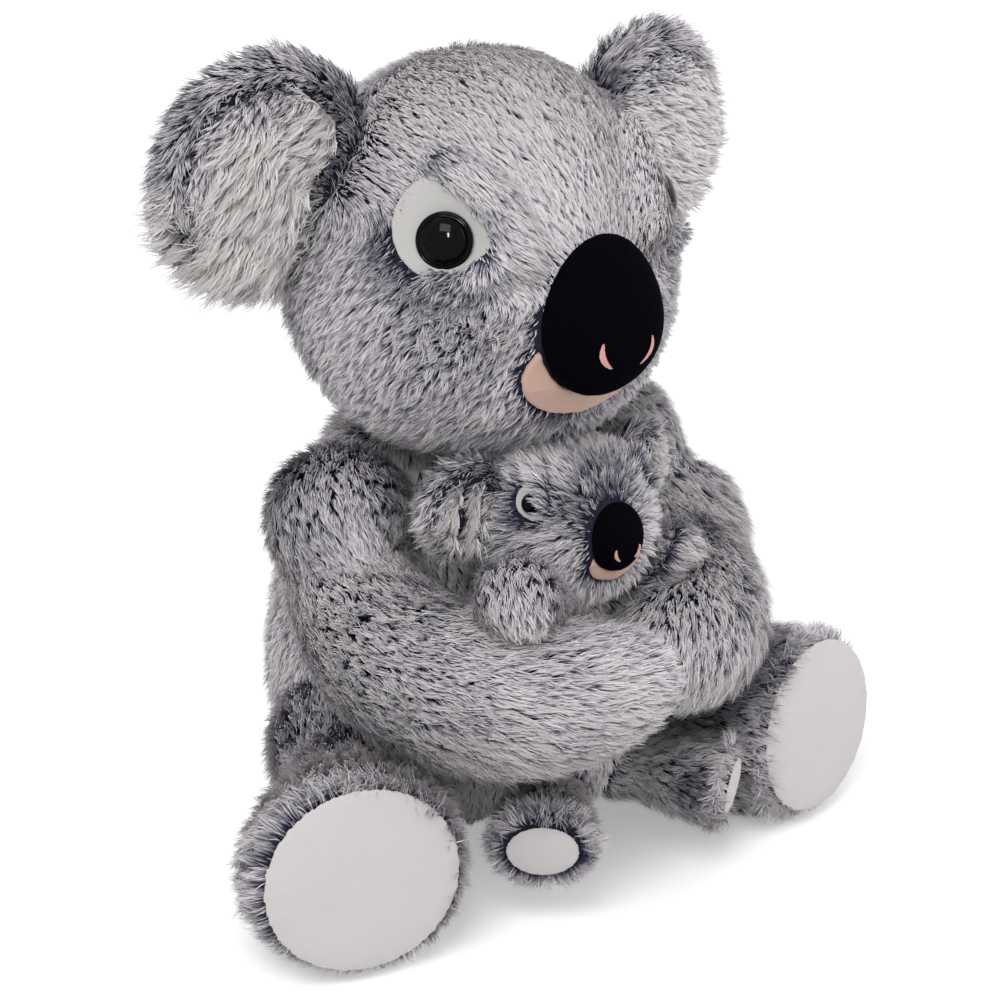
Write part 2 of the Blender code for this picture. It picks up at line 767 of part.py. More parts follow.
def ear(sizes, side, head, neck):
    """A cupped ear whose root is a roll in the head's seam, with its long-pile lining."""
    out = to_side(side, sizes.root[side]).normalized()
    front = to_side(side, sizes.front)
    front = (front - out * front.dot(out)).normalized()
    along = front.cross(out).normalized()
    name = sizes.prefix + "ear_" + side
    surface, _ = head.skin_point(out)
    centre = surface - out * sizes.seat
    hinge = joint(name, centre, along, neck.empty)
    middle = centre + out * sizes.halves[0] * sizes.middle_share
    directions = (out, along, front)
    made = lens(name, middle, directions, sizes.halves, sizes.around, 6, sizes.cup)
    form = Form(made)
    shift = out * sizes.halves[0] * sizes.lining_shift_share
    spot = middle + shift + front * sizes.halves[2] * sizes.lift_share
    lining_name = sizes.prefix + "ear_lining_" + side
    lining = lens(lining_name, spot, directions, sizes.lining_halves, sizes.lining_around, 6, sizes.cup)
    cut(lining, form.skin)
    behind = slab(name + "_root_cutter", centre, -out)
    length = 2 * sizes.halves[1] * sizes.roll_share
    wide = seat_radius(sizes.roll, sizes.roll_around)
    seat = roll(name + "_seat", centre, along, wide, sizes.roll_around, length + 2 * GAP)
    for piece in (made, lining):
        cut(piece, behind, *head.turned_back(hinge, EAR_TURNS))
        hang(piece, hinge.empty)
    cut(lining, seat)
    boolean(made, roll(name + "_roll", centre, along, sizes.roll, sizes.roll_around, length), "UNION")
    cut(head.piece, seat)
    finish(made, "fur")
    finish(lining, "ear_lining")


def limb(name, stations, blunt_shares, hinge, radius, around=8, along=8, ball_around=20):
    """A stuffed limb before it is cut: a tube that will turn on a ball at its root."""
    form = Form(soft_form(name, stations, UPWARD, blunt_shares, around, along))
    form.hinge = hinge
    form.radius = radius
    form.ball_around = ball_around
    hang(form.piece, hinge.empty)
    return form


def root_ball(form, carrier, turns, neighbours=(), dented=()):
    """Clears a limb of its carrier through its turns, and gives it the ball that it turns on.

    A neighbour is (form, turns). The dented forms make room for the ball, as the carrier does.
    """
    hinge = form.hinge
    name = form.piece.name
    cut(form.piece, slab(name + "_root_cutter", hinge.centre, -form.heading))
    cut(form.piece, *carrier.turned_back(hinge, turns))
    for neighbour, at_turns in neighbours:
        cut(form.piece, *neighbour.turned_back(hinge, at_turns, neighbour.room))
    around = form.ball_around
    boolean(form.piece, roll(name + "_ball", hinge.centre, hinge.axis, form.radius, around), "UNION")
    seat = roll(name + "_seat", hinge.centre, hinge.axis, seat_radius(form.radius, around), around)
    for larger in (carrier, *dented):
        cut(larger.piece, seat)
    return finish(form.piece, "fur")


def sole(name, place, side, splay, tilt, sizes, around, foot, hinge):
    """A crowned sole on the foot, which is cut flat for it."""
    ahead = outward(side, splay, tilt)
    width, height, crown = sizes
    halves = (width / 2, height / 2, crown)
    made = lens(name, place, frame_of(ahead), halves, around, 6)
    cut(foot, slab(name + "_face_cutter", place, ahead))
    cut(made, slab(name + "_back_cutter", place + ahead * GAP, -ahead))
    return finish(hang(made, hinge.empty), "sole")


# For each height share: the shares of the body's width and depth, and of its setback
BODY_GIRTH_SHARES = (
    (0.00, 0.84, 0.86, 1.10),
    (0.30, 1.00, 1.00, 1.00),
    (0.55, 0.90, 0.88, 0.90),
    (0.80, 0.84, 0.61, 0.74),
)


def mother_body():
    stations = []
    tall = NECK_HEIGHT + NECK_OVERRUN + BODY_BOTTOM
    for height_share, width_share, depth_share, back_share in BODY_GIRTH_SHARES:
        height = tall * height_share - BODY_BOTTOM
        girths = (BODY_DEPTH / 2 * depth_share, BODY_WIDTH / 2 * width_share)
        stations.append((0, BODY_SETBACK * back_share, height, *girths))
    stations.append((0, NECK_SETBACK, NECK_HEIGHT + NECK_OVERRUN, NECK_DEPTH / 2, NECK_WIDTH / 2))
    body = Form(soft_form("body", stations, (1, 0, 0), (0.72, 0.45), 12, 8, -FLOOR_CUT))
    cut(body.piece, FLOOR, slab("neck_cutter", Vector((0, 0, NECK_HEIGHT)), UPWARD))
    finish(body.piece, "fur")
    return body


CHEEK = (0.62, -0.62, -0.45)
MUZZLE = (0, -1, -0.18)


def skull(name, face, centre, halves, muzzle, cheek, hollow, around, along, neck_height, neck):
    """A stuffed head with a muzzle, two cheeks and hollow eyes, cut flat where it turns on the neck."""
    bumps = [(MUZZLE, muzzle, radians(32))]
    for side in SIDES:
        bumps.append((to_side(side, CHEEK), cheek, radians(29)))
        bumps.append((outward(side, face.eye_turn[side], face.eye_rise), -hollow, radians(19)))
    head = Form(round_form(name, centre, halves, bumps, around, along), centre)
    cut(head.piece, slab(name + "_seam_cutter", Vector((0, 0, neck_height + GAP)), -UPWARD))
    hang(head.piece, neck.empty)
    finish(head.piece, "fur")
    return head


def mother_head():
    neck = joint("neck", Vector((0, NECK_SETBACK, NECK_HEIGHT)), UPWARD)
    centre = Vector((0, -HEAD_FORWARD, NECK_HEIGHT - HEAD_SINK + HEAD_HEIGHT / 2))
    halves = (HEAD_WIDTH / 2, HEAD_DEPTH / 2, HEAD_HEIGHT / 2)
    bulges = (MUZZLE_BULGE, CHEEK_BULGE, EYE_HOLLOW)
    head = skull("head", MOTHER_FACE, centre, halves, *bulges, 14, 8, NECK_HEIGHT, neck)
    for side in SIDES:
        eye(MOTHER_FACE, side, head, neck)
        ear(MOTHER_EAR, side, head, neck)
    nose_and_mouth(MOTHER_FACE, head, neck)
    return head


# Along an arm: shares of the way from the shoulder to the paw, outwards, forwards and down, and of the girth
ARM_SHARES = (
    (0.00, -0.10, -0.30, 0.84, 0.84),
    (0.55, 0.10, 0.50, 0.92, 0.92),
    (1.00, 0.34, 0.92, 0.95, 0.97),
    (0.86, 0.74, 1.05, 1.00, 1.02),
)
PAW_SHARES = ((0.42, 0.99), (1.00, 1.00))


def arm_stations(side, reach, tip, paw_height):
    """The path of an arm that bends down from the shoulder and then in to the middle."""
    stations = []
    drop = SHOULDER_HEIGHT[side] - paw_height
    ahead = reach - SHOULDER_FORWARD
    for out_share, forward_share, drop_share, width_share, height_share in ARM_SHARES:
        out = SHOULDER_SPREAD[side] + (ARM_SPREAD[side] - SHOULDER_SPREAD[side]) * out_share
        place = (out, -SHOULDER_FORWARD - ahead * forward_share, SHOULDER_HEIGHT[side] - drop * drop_share)
        girths = (ARM_GIRTH / 2 * width_share, ARM_GIRTH / 2 * height_share)
        stations.append((*to_side(side, place), *girths))
    for inward_share, forward_share in PAW_SHARES:
        out = ARM_SPREAD[side] + (tip - ARM_SPREAD[side]) * inward_share
        place = (out, -SHOULDER_FORWARD - ahead * forward_share, paw_height)
        stations.append((*to_side(side, place), PAW_WIDTH / 2, PAW_HEIGHT / 2))
    return stations


def arm_hinge(side):
    axis = turning(side, (-sin(ARM_AXIS_TILT), 0, -cos(ARM_AXIS_TILT)))
    place = (SHOULDER_SPREAD[side], -SHOULDER_FORWARD, SHOULDER_HEIGHT[side])
    return joint("arm_" + side, to_side(side, place), axis)


def leg(side):
    """A leg out to the foot, which is cut flat for the sole and where it lies on the floor."""
    hip = to_side(side, (HIP_SPREAD, -HIP_FORWARD, HIP_HEIGHT))
    foot = to_side(side, (FOOT_SPREAD, -FOOT_FORWARD, FOOT_CENTRE_HEIGHT))
    ahead = outward(side, SOLE_SPLAY, SOLE_TILT)
    hinge = joint("leg_" + side, hip, turning(side, (0, 0, -1)))
    low = THIGH_HEIGHT / 2 - FLOOR_CUT
    thigh = (THIGH_WIDTH / 2, THIGH_HEIGHT / 2)
    rim = (FOOT_WIDTH / 2, FOOT_HEIGHT / 2)
    heel = foot - ahead * FOOT_WIDTH * 0.16
    stations = [
        (*(hip + (hip - foot) * 0.16).xy, HIP_HEIGHT, *thigh),
        (*hip.lerp(foot, 0.28).xy, low, *thigh),
        (*hip.lerp(foot, 0.66).xy, low, *thigh),
        (*heel.xy, FOOT_CENTRE_HEIGHT - FLOOR_CUT, *rim),
        (*(foot + ahead * FOOT_OVERRUN), *rim),
    ]
    form = limb("leg_" + side, stations, (0.3, 0.55), hinge, HIP_BALL)
    cut(form.piece, FLOOR)
    sizes = (SOLE_WIDTH, SOLE_HEIGHT, SOLE_CROWN)
    sole("sole_" + side, foot, side, SOLE_SPLAY, SOLE_TILT, sizes, 12, form.piece, hinge)
    form.heading = (foot - hip).normalized()
    return form


# For each height share: the shares of the baby's width, depth and sideways shift
BABY_GIRTH_SHARES = (
    (0.00, 0.80, 0.84, 1.0),
    (0.30, 1.00, 1.00, 1.0),
    (0.65, 0.86, 0.92, 0.7),
)


def baby_body():
    stations = []
    top = BABY_NECK_HEIGHT + BABY_NECK_OVERRUN
    for height_share, width_share, depth_share, shift_share in BABY_GIRTH_SHARES:
        height = BABY_SEAT_HEIGHT + (top - BABY_SEAT_HEIGHT) * height_share
        shift = BABY_NECK_SHIFT + (BABY_SHIFT - BABY_NECK_SHIFT) * shift_share
        girths = (BABY_DEPTH / 2 * depth_share, BABY_WIDTH / 2 * width_share)
        stations.append((shift, -BABY_FORWARD, height, *girths))
    stations.append((BABY_NECK_SHIFT, -BABY_FORWARD, top, BABY_NECK_DEPTH / 2, BABY_NECK_WIDTH / 2))
    body = Form(soft_form("baby_body", stations, (1, 0, 0), (0.5, 0.45), 8, 6))
    cut(body.piece, slab("baby_neck_cutter", Vector((0, 0, BABY_NECK_HEIGHT)), UPWARD))
    return body


def baby_head():
    neck = joint("baby_neck", Vector((BABY_NECK_SHIFT, -BABY_FORWARD, BABY_NECK_HEIGHT)), UPWARD)
    height = BABY_NECK_HEIGHT - BABY_HEAD_SINK + BABY_HEAD_HEIGHT / 2
    centre = Vector((BABY_NECK_SHIFT, -BABY_HEAD_FORWARD, height))
    halves = (BABY_HEAD_WIDTH / 2, BABY_HEAD_DEPTH / 2, BABY_HEAD_HEIGHT / 2)
    bulges = (BABY_MUZZLE_BULGE, BABY_CHEEK_BULGE, BABY_EYE_HOLLOW)
    head = skull("baby_head", BABY_FACE, centre, halves, *bulges, 10, 8, BABY_NECK_HEIGHT, neck)
    cut(head.piece, slab("baby_crown_cutter", Vector((0, 0, NECK_HEIGHT)), UPWARD))
    for side in SIDES:
        eye(BABY_FACE, side, head, neck)
        ear(BABY_EAR, side, head, neck)
    nose_and_mouth(BABY_FACE, head, neck)
    return head


def baby_arm(side, spread, forward, height):
    """A baby's arm, which arches from the shoulder to a paw laid over the mother's forearm."""
    shift = Vector((BABY_NECK_SHIFT, 0, 0))
    shoulder = shift + to_side(side, (BABY_SHOULDER_SPREAD, -BABY_SHOULDER_FORWARD, BABY_SHOULDER_HEIGHT))
    paw = shift + to_side(side, (spread, -forward, height))
    heading = paw - shoulder
    hinge = joint("baby_arm_" + side, shoulder, heading.cross(UPWARD))
    girth = BABY_ARM_GIRTH / 2
    paw_halves = (BABY_PAW_WIDTH / 2, BABY_PAW_HEIGHT / 2)
    stations = [
        (*(shoulder - heading * 0.16), girth, girth),
        (*(shoulder + heading * 0.30 + UPWARD * girth * 0.35), girth, girth),
        (*(shoulder + heading * 0.66 + UPWARD * girth * 0.25), (girth + paw_halves[0]) / 2, girth),
        (*paw, *paw_halves),
    ]
    form = limb("baby_arm_" + side, stations, (0.3, 0.45), hinge, BABY_SHOULDER_BALL, 8, 5, 12)
    form.heading = heading.normalized()
    return form


def baby_leg(side):
    shift = Vector((BABY_SHIFT, 0, 0))
    hip = shift + to_side(side, (BABY_HIP_SPREAD, -BABY_HIP_FORWARD, BABY_HIP_HEIGHT))
    foot = shift + to_side(side, (BABY_FOOT_SPREAD, -BABY_FOOT_FORWARD, BABY_FOOT_CENTRE_HEIGHT))
    ahead = outward(side, BABY_SOLE_SPLAY, BABY_SOLE_TILT)
    hinge = joint("baby_leg_" + side, hip, (foot - hip).cross(UPWARD))
    thigh = (BABY_THIGH_GIRTH / 2, BABY_THIGH_GIRTH / 2)
    rim = (BABY_FOOT_WIDTH / 2, BABY_FOOT_HEIGHT / 2)
    stations = [
        (*(hip + (hip - foot) * 0.16), *thigh),
        (*hip.lerp(foot, 0.34), *thigh),
        (*(foot - ahead * BABY_FOOT_WIDTH * 0.18), *rim),
        (*(foot + ahead * BABY_FOOT_OVERRUN), *rim),
    ]
    form = limb("baby_leg_" + side, stations, (0.3, 0.5), hinge, BABY_HIP_BALL, 8, 5, 12)
    sizes = (BABY_SOLE_WIDTH, BABY_SOLE_HEIGHT, BABY_SOLE_CROWN)
    sole("baby_sole_" + side, foot, side, BABY_SOLE_SPLAY, BABY_SOLE_TILT, sizes, 10, form.piece, hinge)
    form.heading = (foot - hip).normalized()
    return form


def main():
    body = mother_body()
    mother_head()
    legs = [leg(side) for side in SIDES]
    for form in legs:
        root_ball(form, body, LEG_TURNS)
    paws = {
        "right": (RIGHT_PAW_REACH, -RIGHT_PAW_CROSSING, RIGHT_PAW_HEIGHT),
        "left": (LEFT_PAW_REACH, LEFT_PAW_SHORT, LEFT_PAW_HEIGHT),
    }
    arms = []
    for side, own_leg in zip(SIDES, legs):
        hinge = arm_hinge(side)
        stations = arm_stations(side, *paws[side])
        form = limb("arm_" + side, stations, (0.3, 0.25), hinge, SHOULDER_BALL)
        form.heading = (Vector(stations[1][:3]) - hinge.centre).normalized()
        root_ball(form, body, ARM_TURNS, [(own_leg, ARM_TURNS)])
        arms.append(form)
    small = baby_body()
    cut(small.piece, body.skin, *[form.skin for form in legs + arms])
    finish(small.piece, "fur")
    small_head = baby_head()
    small_head.room = grown(small_head.shape, BABY_HEAD_ROOM)
    paws = {
        "right": (BABY_RIGHT_PAW_SPREAD, BABY_RIGHT_PAW_FORWARD, BABY_RIGHT_PAW_HEIGHT),
        "left": (BABY_LEFT_PAW_SPREAD, BABY_LEFT_PAW_FORWARD, BABY_LEFT_PAW_HEIGHT),
    }
    for side, own_arm, own_leg in zip(SIDES, arms, legs):
        form = baby_arm(side, *paws[side])
        root_ball(form, small, BABY_LIFTS, [(own_arm, (0,)), (small_head, BABY_LIFTS)], [own_arm])
        form = baby_leg(side)
        root_ball(form, small, BABY_KICKS, [(own_leg, BABY_KICKS)])


main()
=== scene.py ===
# %% [markdown]
# # A plush koala that hugs its baby
#
# The real toy is sewn from long-pile plush and stuffed with loose fibre. Two koalas sit together: the
# mother, about 310 mm tall, and a baby that she holds in her arms. This notebook dresses a packed
# model of the toy, whose plain solids already have the right sizes and joints, with cloth, pile, felt,
# velvet, thread and glossy safety eyes.

import json
from math import cos, pi, radians, sin

import bmesh
import bpy
import numpy as np
from mathutils import Matrix, Vector
from mathutils.bvhtree import BVHTree

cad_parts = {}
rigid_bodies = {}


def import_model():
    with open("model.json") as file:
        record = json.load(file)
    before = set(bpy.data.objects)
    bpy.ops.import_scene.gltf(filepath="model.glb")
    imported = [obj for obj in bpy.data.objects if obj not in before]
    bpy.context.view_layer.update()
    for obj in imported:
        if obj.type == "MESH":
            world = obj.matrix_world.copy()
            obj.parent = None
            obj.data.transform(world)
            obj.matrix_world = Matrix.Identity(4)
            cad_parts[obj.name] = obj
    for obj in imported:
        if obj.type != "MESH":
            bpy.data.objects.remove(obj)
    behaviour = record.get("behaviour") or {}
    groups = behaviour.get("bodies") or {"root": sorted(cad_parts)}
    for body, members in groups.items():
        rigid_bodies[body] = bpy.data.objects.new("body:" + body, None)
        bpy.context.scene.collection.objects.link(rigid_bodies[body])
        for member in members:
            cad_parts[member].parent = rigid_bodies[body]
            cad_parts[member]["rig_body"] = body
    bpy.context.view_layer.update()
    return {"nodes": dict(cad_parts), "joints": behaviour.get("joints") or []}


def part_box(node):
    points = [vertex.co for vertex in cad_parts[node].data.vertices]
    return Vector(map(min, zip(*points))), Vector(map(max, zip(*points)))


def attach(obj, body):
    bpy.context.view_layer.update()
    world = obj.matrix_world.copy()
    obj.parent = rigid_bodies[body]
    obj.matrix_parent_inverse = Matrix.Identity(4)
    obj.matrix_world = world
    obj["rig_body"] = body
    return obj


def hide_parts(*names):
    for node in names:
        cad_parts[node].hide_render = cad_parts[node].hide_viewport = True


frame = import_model()

# %% [markdown]
# ## The camera
#
# The photograph looks down at the toy from its right front, from a little over a metre away with a
# long lens, so that near and far parts keep nearly the same size. A camera is placed by the point it
# looks at, two angles and a distance, which is easier to change than a place and a rotation.

# %% Place the camera
CAMERA_TARGET = Vector((0.0181, 0, 0.1253))
CAMERA_TURN = radians(-36.3)
CAMERA_RISE = radians(21)
CAMERA_DISTANCE = 1.1
CAMERA_LENS_MM = 103

CAMERA_BACK = Vector((
    sin(CAMERA_TURN) * cos(CAMERA_RISE),
    -cos(CAMERA_TURN) * cos(CAMERA_RISE),
    sin(CAMERA_RISE),
))
camera = bpy.data.objects.new("camera", bpy.data.cameras.new("camera"))
bpy.context.scene.collection.objects.link(camera)
camera.location = CAMERA_TARGET + CAMERA_BACK * CAMERA_DISTANCE
camera.rotation_euler = CAMERA_BACK.to_track_quat("Z", "Y").to_euler()
camera.data.lens = CAMERA_LENS_MM
camera.data.sensor_width = 36
bpy.context.scene.camera = camera


def sight(across, down):
    """The direction in which the camera sees a point of the picture, given as shares of its sides."""
    half = 18 / CAMERA_LENS_MM
    ahead = Vector(((2 * across - 1) * half, (1 - 2 * down) * half, -1))
    return (CAMERA_BACK.to_track_quat("Z", "Y") @ ahead).normalized()


print("camera at", [round(v, 3) for v in camera.location])

# %% [markdown]
# ## Nodes in few words
#
# Shader trees and Geometry Nodes trees are both built from nodes and links. One small helper makes a
# node, sets its settings, and fills each input with a plain value or with a link. Everything below is
# written with it.

# %% Helpers for node trees
def feed(tree, made, inputs):
    """Fills a node's inputs, by name or number, with plain values or other nodes' sockets."""
    for key, value in inputs.items():
        if isinstance(value, bpy.types.NodeSocket):
            tree.links.new(value, made.inputs[key])
        else:
            made.inputs[key].default_value = value


def add(tree, kind, inputs=None, **settings):
    """A new node with its settings made and its inputs fed."""
    made = tree.nodes.new(kind)
    for name, value in settings.items():
        setattr(made, name, value)
    feed(tree, made, inputs or {})
    return made


def out(made, name=0):
    """A node's live output of that name or number: some nodes keep one per kind of value."""
    if isinstance(name, int):
        return made.outputs[name]
    return next(s for s in made.outputs if s.name == name and s.enabled)


def maths(tree, operation, *values, clamp=False):
    return out(add(tree, "ShaderNodeMath", dict(enumerate(values)), operation=operation, use_clamp=clamp))


def vectors(tree, operation, *values):
    made = add(tree, "ShaderNodeVectorMath", operation=operation)
    factor = {1: "Scale"} if operation == "SCALE" else {}
    feed(tree, made, {factor.get(number, number): value for number, value in enumerate(values)})
    return out(made, "Value" if operation in ("LENGTH", "DOT_PRODUCT") else "Vector")


def mixed(tree, factor, first, second):
    """A mix of two colours. A Mix node's colour inputs are numbers 6 and 7, and its colour is output 2."""
    return add(tree, "ShaderNodeMix", {"Factor": factor, 6: first, 7: second}, data_type="RGBA").outputs[2]


def sockets(tree, inputs, outputs):
    """Names the sockets of a group. Inputs are (name, type, default)."""
    for name, kind, default in inputs:
        made = tree.interface.new_socket(name=name, in_out="INPUT", socket_type=kind)
        if default is not None:
            made.default_value = default
    for name, kind in outputs:
        tree.interface.new_socket(name=name, in_out="OUTPUT", socket_type=kind)
    return tree.nodes.new("NodeGroupInput"), tree.nodes.new("NodeGroupOutput")


print("node helpers ready")

# %% [markdown]
# ## Colours
#
# A photograph's colours are display values. The shaders work in linear light, so each colour is
# written as the display value from 0 to 255 that it should have, and turned into linear light once.

# %% Colours
def linear(*display):
    """Linear colour from display values of 0 to 255."""
    steps = [value / 255 for value in display]
    return (*[s / 12.92 if s <= 0.04045 else ((s + 0.055) / 1.055) ** 2.4 for s in steps], 1)


PILE_ROOT = linear(60, 58, 82)
PILE_MIDDLE = linear(160, 157, 168)
PILE_TIP = linear(224, 220, 223)
# Painted shade: the backing is dark cloth, and its colour is set darker still to stand for the shade in the
# creases where it shows.
BACKING_AND_SHADE = linear(42, 40, 56)
WHITE_ROOT = linear(176, 173, 174)
WHITE_MIDDLE = linear(208, 205, 204)
WHITE_TIP = linear(230, 227, 226)
FELT_WHITE = linear(187, 185, 183)
SOLE_GREY = linear(204, 199, 199)
NOSE_BLACK = linear(5, 5, 10)
MOUTH_PEACH = linear(200, 166, 152)
THREAD_PINK = linear(214, 160, 150)
BUTTON_BLACK = linear(2, 2, 3)
WASHER_WHITE = linear(222, 220, 214)
FLOOR_WHITE = linear(238, 238, 238)
print("colours:", 15)

# %% [markdown]
# ## Shared shader groups
#
# Cloth, felt and velvet all need a fine grain, and each needs it at its own scale. The grain is one
# node group, used in each material with its own numbers. It puts out a mask that varies the colour and
# a height for a Bump node, while the Principled shader itself stays in the material.

# %% Fine grain of cloth
def grain_group():
    tree = bpy.data.node_groups.new("cloth grain", "ShaderNodeTree")
    given, result = sockets(
        tree,
        [
            ("Size", "NodeSocketFloat", 0.001),
            ("Stretch", "NodeSocketFloat", 1.0),
            ("Patch size", "NodeSocketFloat", 0.02),
        ],
        [("Height", "NodeSocketFloat"), ("Mottle", "NodeSocketFloat")],
    )
    place = out(add(tree, "ShaderNodeTexCoord"), "Object")
    spread = add(tree, "ShaderNodeCombineXYZ", {"X": given.outputs["Stretch"], "Y": 1.0, "Z": 1.0})
    fine = vectors(tree, "MULTIPLY", place, out(spread))
    per_metre = maths(tree, "DIVIDE", 1.0, given.outputs["Size"])
    grain = add(tree, "ShaderNodeTexNoise",
                {"Vector": fine, "Scale": per_metre, "Detail": 4.0, "Roughness": 0.6})
    wide = maths(tree, "DIVIDE", 1.0, given.outputs["Patch size"])
    mottle = add(tree, "ShaderNodeTexNoise", {"Vector": place, "Scale": wide, "Detail": 2.0})
    tree.links.new(out(grain), result.inputs["Height"])
    tree.links.new(out(mottle), result.inputs["Mottle"])
    return tree


GRAIN = grain_group()
print("group:", GRAIN.name)

# %% [markdown]
# ## Cloth materials
#
# Felt is matt and slightly hairy, velour has a fine nap, and the cloth backing under the pile is dark.
# Painted shade makes the backing darker still, because it shows where the pile parts in creases.
# All take the same recipe: two near tones mixed by the mottle, a bump from the grain, high roughness
# and a little sheen, which is the light that stray fibres catch at grazing angles.

# %% Cloth material
def new_material(name):
    made = bpy.data.materials.new(name)
    made.use_nodes = True
    return made, made.node_tree, made.node_tree.nodes["Principled BSDF"]


def shade(colour, share):
    return (*[value * share for value in colour[:3]], 1)


def cloth(name, colour, grain=0.0008, patch=0.02, bump=0.3, depth=0.0002, sheen=0.25, rough=0.9, vary=0.86,
          shine=0.06):
    """A matt cloth whose tone wanders between its colour and a darker share of it."""
    made, tree, shader = new_material(name)
    group = add(tree, "ShaderNodeGroup", {"Size": grain, "Patch size": patch}, node_tree=GRAIN)
    height = out(group, "Height")
    blend = maths(tree, "MULTIPLY_ADD", height, 0.6, maths(tree, "MULTIPLY", out(group, "Mottle"), 0.4))
    mix = mixed(tree, blend, shade(colour, vary), shade(colour, 2 - vary))
    lift = add(tree, "ShaderNodeBump", {"Strength": bump, "Distance": depth, "Height": height})
    feed(tree, shader, {
        "Base Color": mix, "Normal": out(lift), "Roughness": rough, "Specular IOR Level": shine,
        "Sheen Weight": sheen, "Sheen Roughness": 0.5,
    })
    return made


BACKING_AND_SHADE_CLOTH = cloth("knitted backing", BACKING_AND_SHADE, grain=0.0012, sheen=0.0)
WHITE_BACKING = cloth("white backing", WHITE_ROOT, grain=0.0012, sheen=0.0)
FELT = cloth("white felt", FELT_WHITE, grain=0.0007, bump=0.35, vary=0.97)
VELOUR = cloth("sole velour", SOLE_GREY, grain=0.0006, patch=0.012, bump=0.4, depth=0.0003, vary=0.95)
VELVET = cloth("nose velvet", NOSE_BLACK, grain=0.0006, patch=0.01, bump=0.8, depth=0.0005, sheen=0.0,
               vary=0.5, shine=0.015)
PEACH = cloth("mouth plush", MOUTH_PEACH, grain=0.0008, bump=0.4, vary=0.92)
print("cloths: 6")

# %% [markdown]
# ## Pile material
#
# Frosted plush is dyed dark at the root and silver at the tip. Each blade of pile carries that in its
# own UV map: along the blade V runs from 0 at the root to 1 at the tip, and across it U holds the tone
# of the lock that it belongs to. The colour depends on those two numbers alone, so every blade can be
# coloured by one small map, and the pattern stays with the blade when a limb moves.

# %% Pile material
PILE_UV = "OFBake"


def pile_group():
    tree = bpy.data.node_groups.new("frosted pile", "ShaderNodeTree")
    given, result = sockets(
        tree,
        [
            ("Root", "NodeSocketColor", PILE_ROOT),
            ("Middle", "NodeSocketColor", PILE_MIDDLE),
            ("Tip", "NodeSocketColor", PILE_TIP),
            ("Frost start", "NodeSocketFloat", 0.75),
            ("Frost shift", "NodeSocketFloat", 0.6),
            ("Dull", "NodeSocketFloat", 0.5),
        ],
        [("Color", "NodeSocketColor")],
    )
    pile_uv = out(add(tree, "ShaderNodeUVMap", uv_map=PILE_UV), "UV")
    parts = add(tree, "ShaderNodeSeparateXYZ", {0: pile_uv})
    tone, along = out(parts, "X"), out(parts, "Y")
    streak = add(tree, "ShaderNodeTexNoise", {"W": tone, "Scale": 90.0, "Detail": 2.0},
                 noise_dimensions="1D")
    start = maths(tree, "SUBTRACT", given.outputs["Frost start"],
                  maths(tree, "MULTIPLY", tone, given.outputs["Frost shift"]))
    wander = maths(tree, "MULTIPLY_ADD", out(streak), 0.16, -0.08)
    level = maths(tree, "SUBTRACT", maths(tree, "ADD", along, wander), start)
    low, high = (
        out(add(tree, "ShaderNodeMapRange", {"Value": level, "From Min": bottom, "From Max": top},
                interpolation_type="SMOOTHSTEP"))
        for bottom, top in ((-0.26, 0.02), (0.0, 0.28))
    )
    dark = mixed(tree, low, given.outputs["Root"], given.outputs["Middle"])
    pale = mixed(tree, high, dark, given.outputs["Tip"])
    dull = maths(tree, "SUBTRACT", 1.0, given.outputs["Dull"])
    gain = maths(tree, "MULTIPLY_ADD", tone, given.outputs["Dull"], dull)
    toned = vectors(tree, "SCALE", pale, gain)
    tree.links.new(toned, result.inputs["Color"])
    return tree


FROSTED = pile_group()


def pile_material(name, root, middle, tip, start=0.75, shift=0.6, dull=0.25):
    made, tree, shader = new_material(name)
    group = add(tree, "ShaderNodeGroup", {
        "Root": root, "Middle": middle, "Tip": tip, "Frost start": start, "Frost shift": shift, "Dull": dull,
    }, node_tree=FROSTED)
    feed(tree, shader, {"Base Color": out(group), "Roughness": 0.75, "Specular IOR Level": 0.15})
    return made


GREY_PILE = pile_material("silver tipped pile", PILE_ROOT, PILE_MIDDLE, PILE_TIP)
WHITE_PILE = pile_material("white pile", WHITE_ROOT, WHITE_MIDDLE, WHITE_TIP, start=0.5, dull=0.1)
print("piles: 2")

# %% [markdown]
# ## Glossy and hard materials
#
# A safety eye is turned acetal with a polished dome. The clear highlight needs a low roughness, and the
# fine noise in the roughness keeps the dome from looking like a perfect mirror.

# %% Plastic materials
def plastic(name, colour, rough, shine, scratch=0.05):
    made, tree, shader = new_material(name)
    place = out(add(tree, "ShaderNodeTexCoord"), "Object")
    noise = add(tree, "ShaderNodeTexNoise", {"Vector": place, "Scale": 400.0, "Detail": 3.0})
    wander = add(tree, "ShaderNodeMapRange",
                 {"Value": out(noise), "To Min": rough, "To Max": rough + scratch})
    lift = add(tree, "ShaderNodeBump", {"Strength": 0.04, "Distance": 0.0001, "Height": out(noise)})
    feed(tree, shader, {
        "Base Color": colour, "Normal": out(lift), "Roughness": out(wander), "Specular IOR Level": shine,
    })
    return made


BUTTON_PLASTIC = plastic("eye plastic", BUTTON_BLACK, 0.05, 0.10)
WASHER_PLASTIC = plastic("washer plastic", WASHER_WHITE, 0.4, 0.25, 0.15)
THREAD = cloth("embroidery thread", THREAD_PINK, grain=0.0005, bump=0.5, depth=0.0001, sheen=0.15, rough=0.55)
print("plastics: 2, thread: 1")

# %% [markdown]
# ## The cloth skin under the pile
#
# A stuffed piece is a cloth skin with pile on it. The skin starts as a merged copy of the plain solid,
# is remeshed to small even squares and eased, so that the solid's flats go, and then sinks by part of
# the pile's depth wherever it lies free. Where it presses on a neighbour it stays put.

# %% Make a mesh from a solid and soften it
PIECES = bpy.data.collections.new("pieces")
bpy.context.scene.collection.children.link(PIECES)


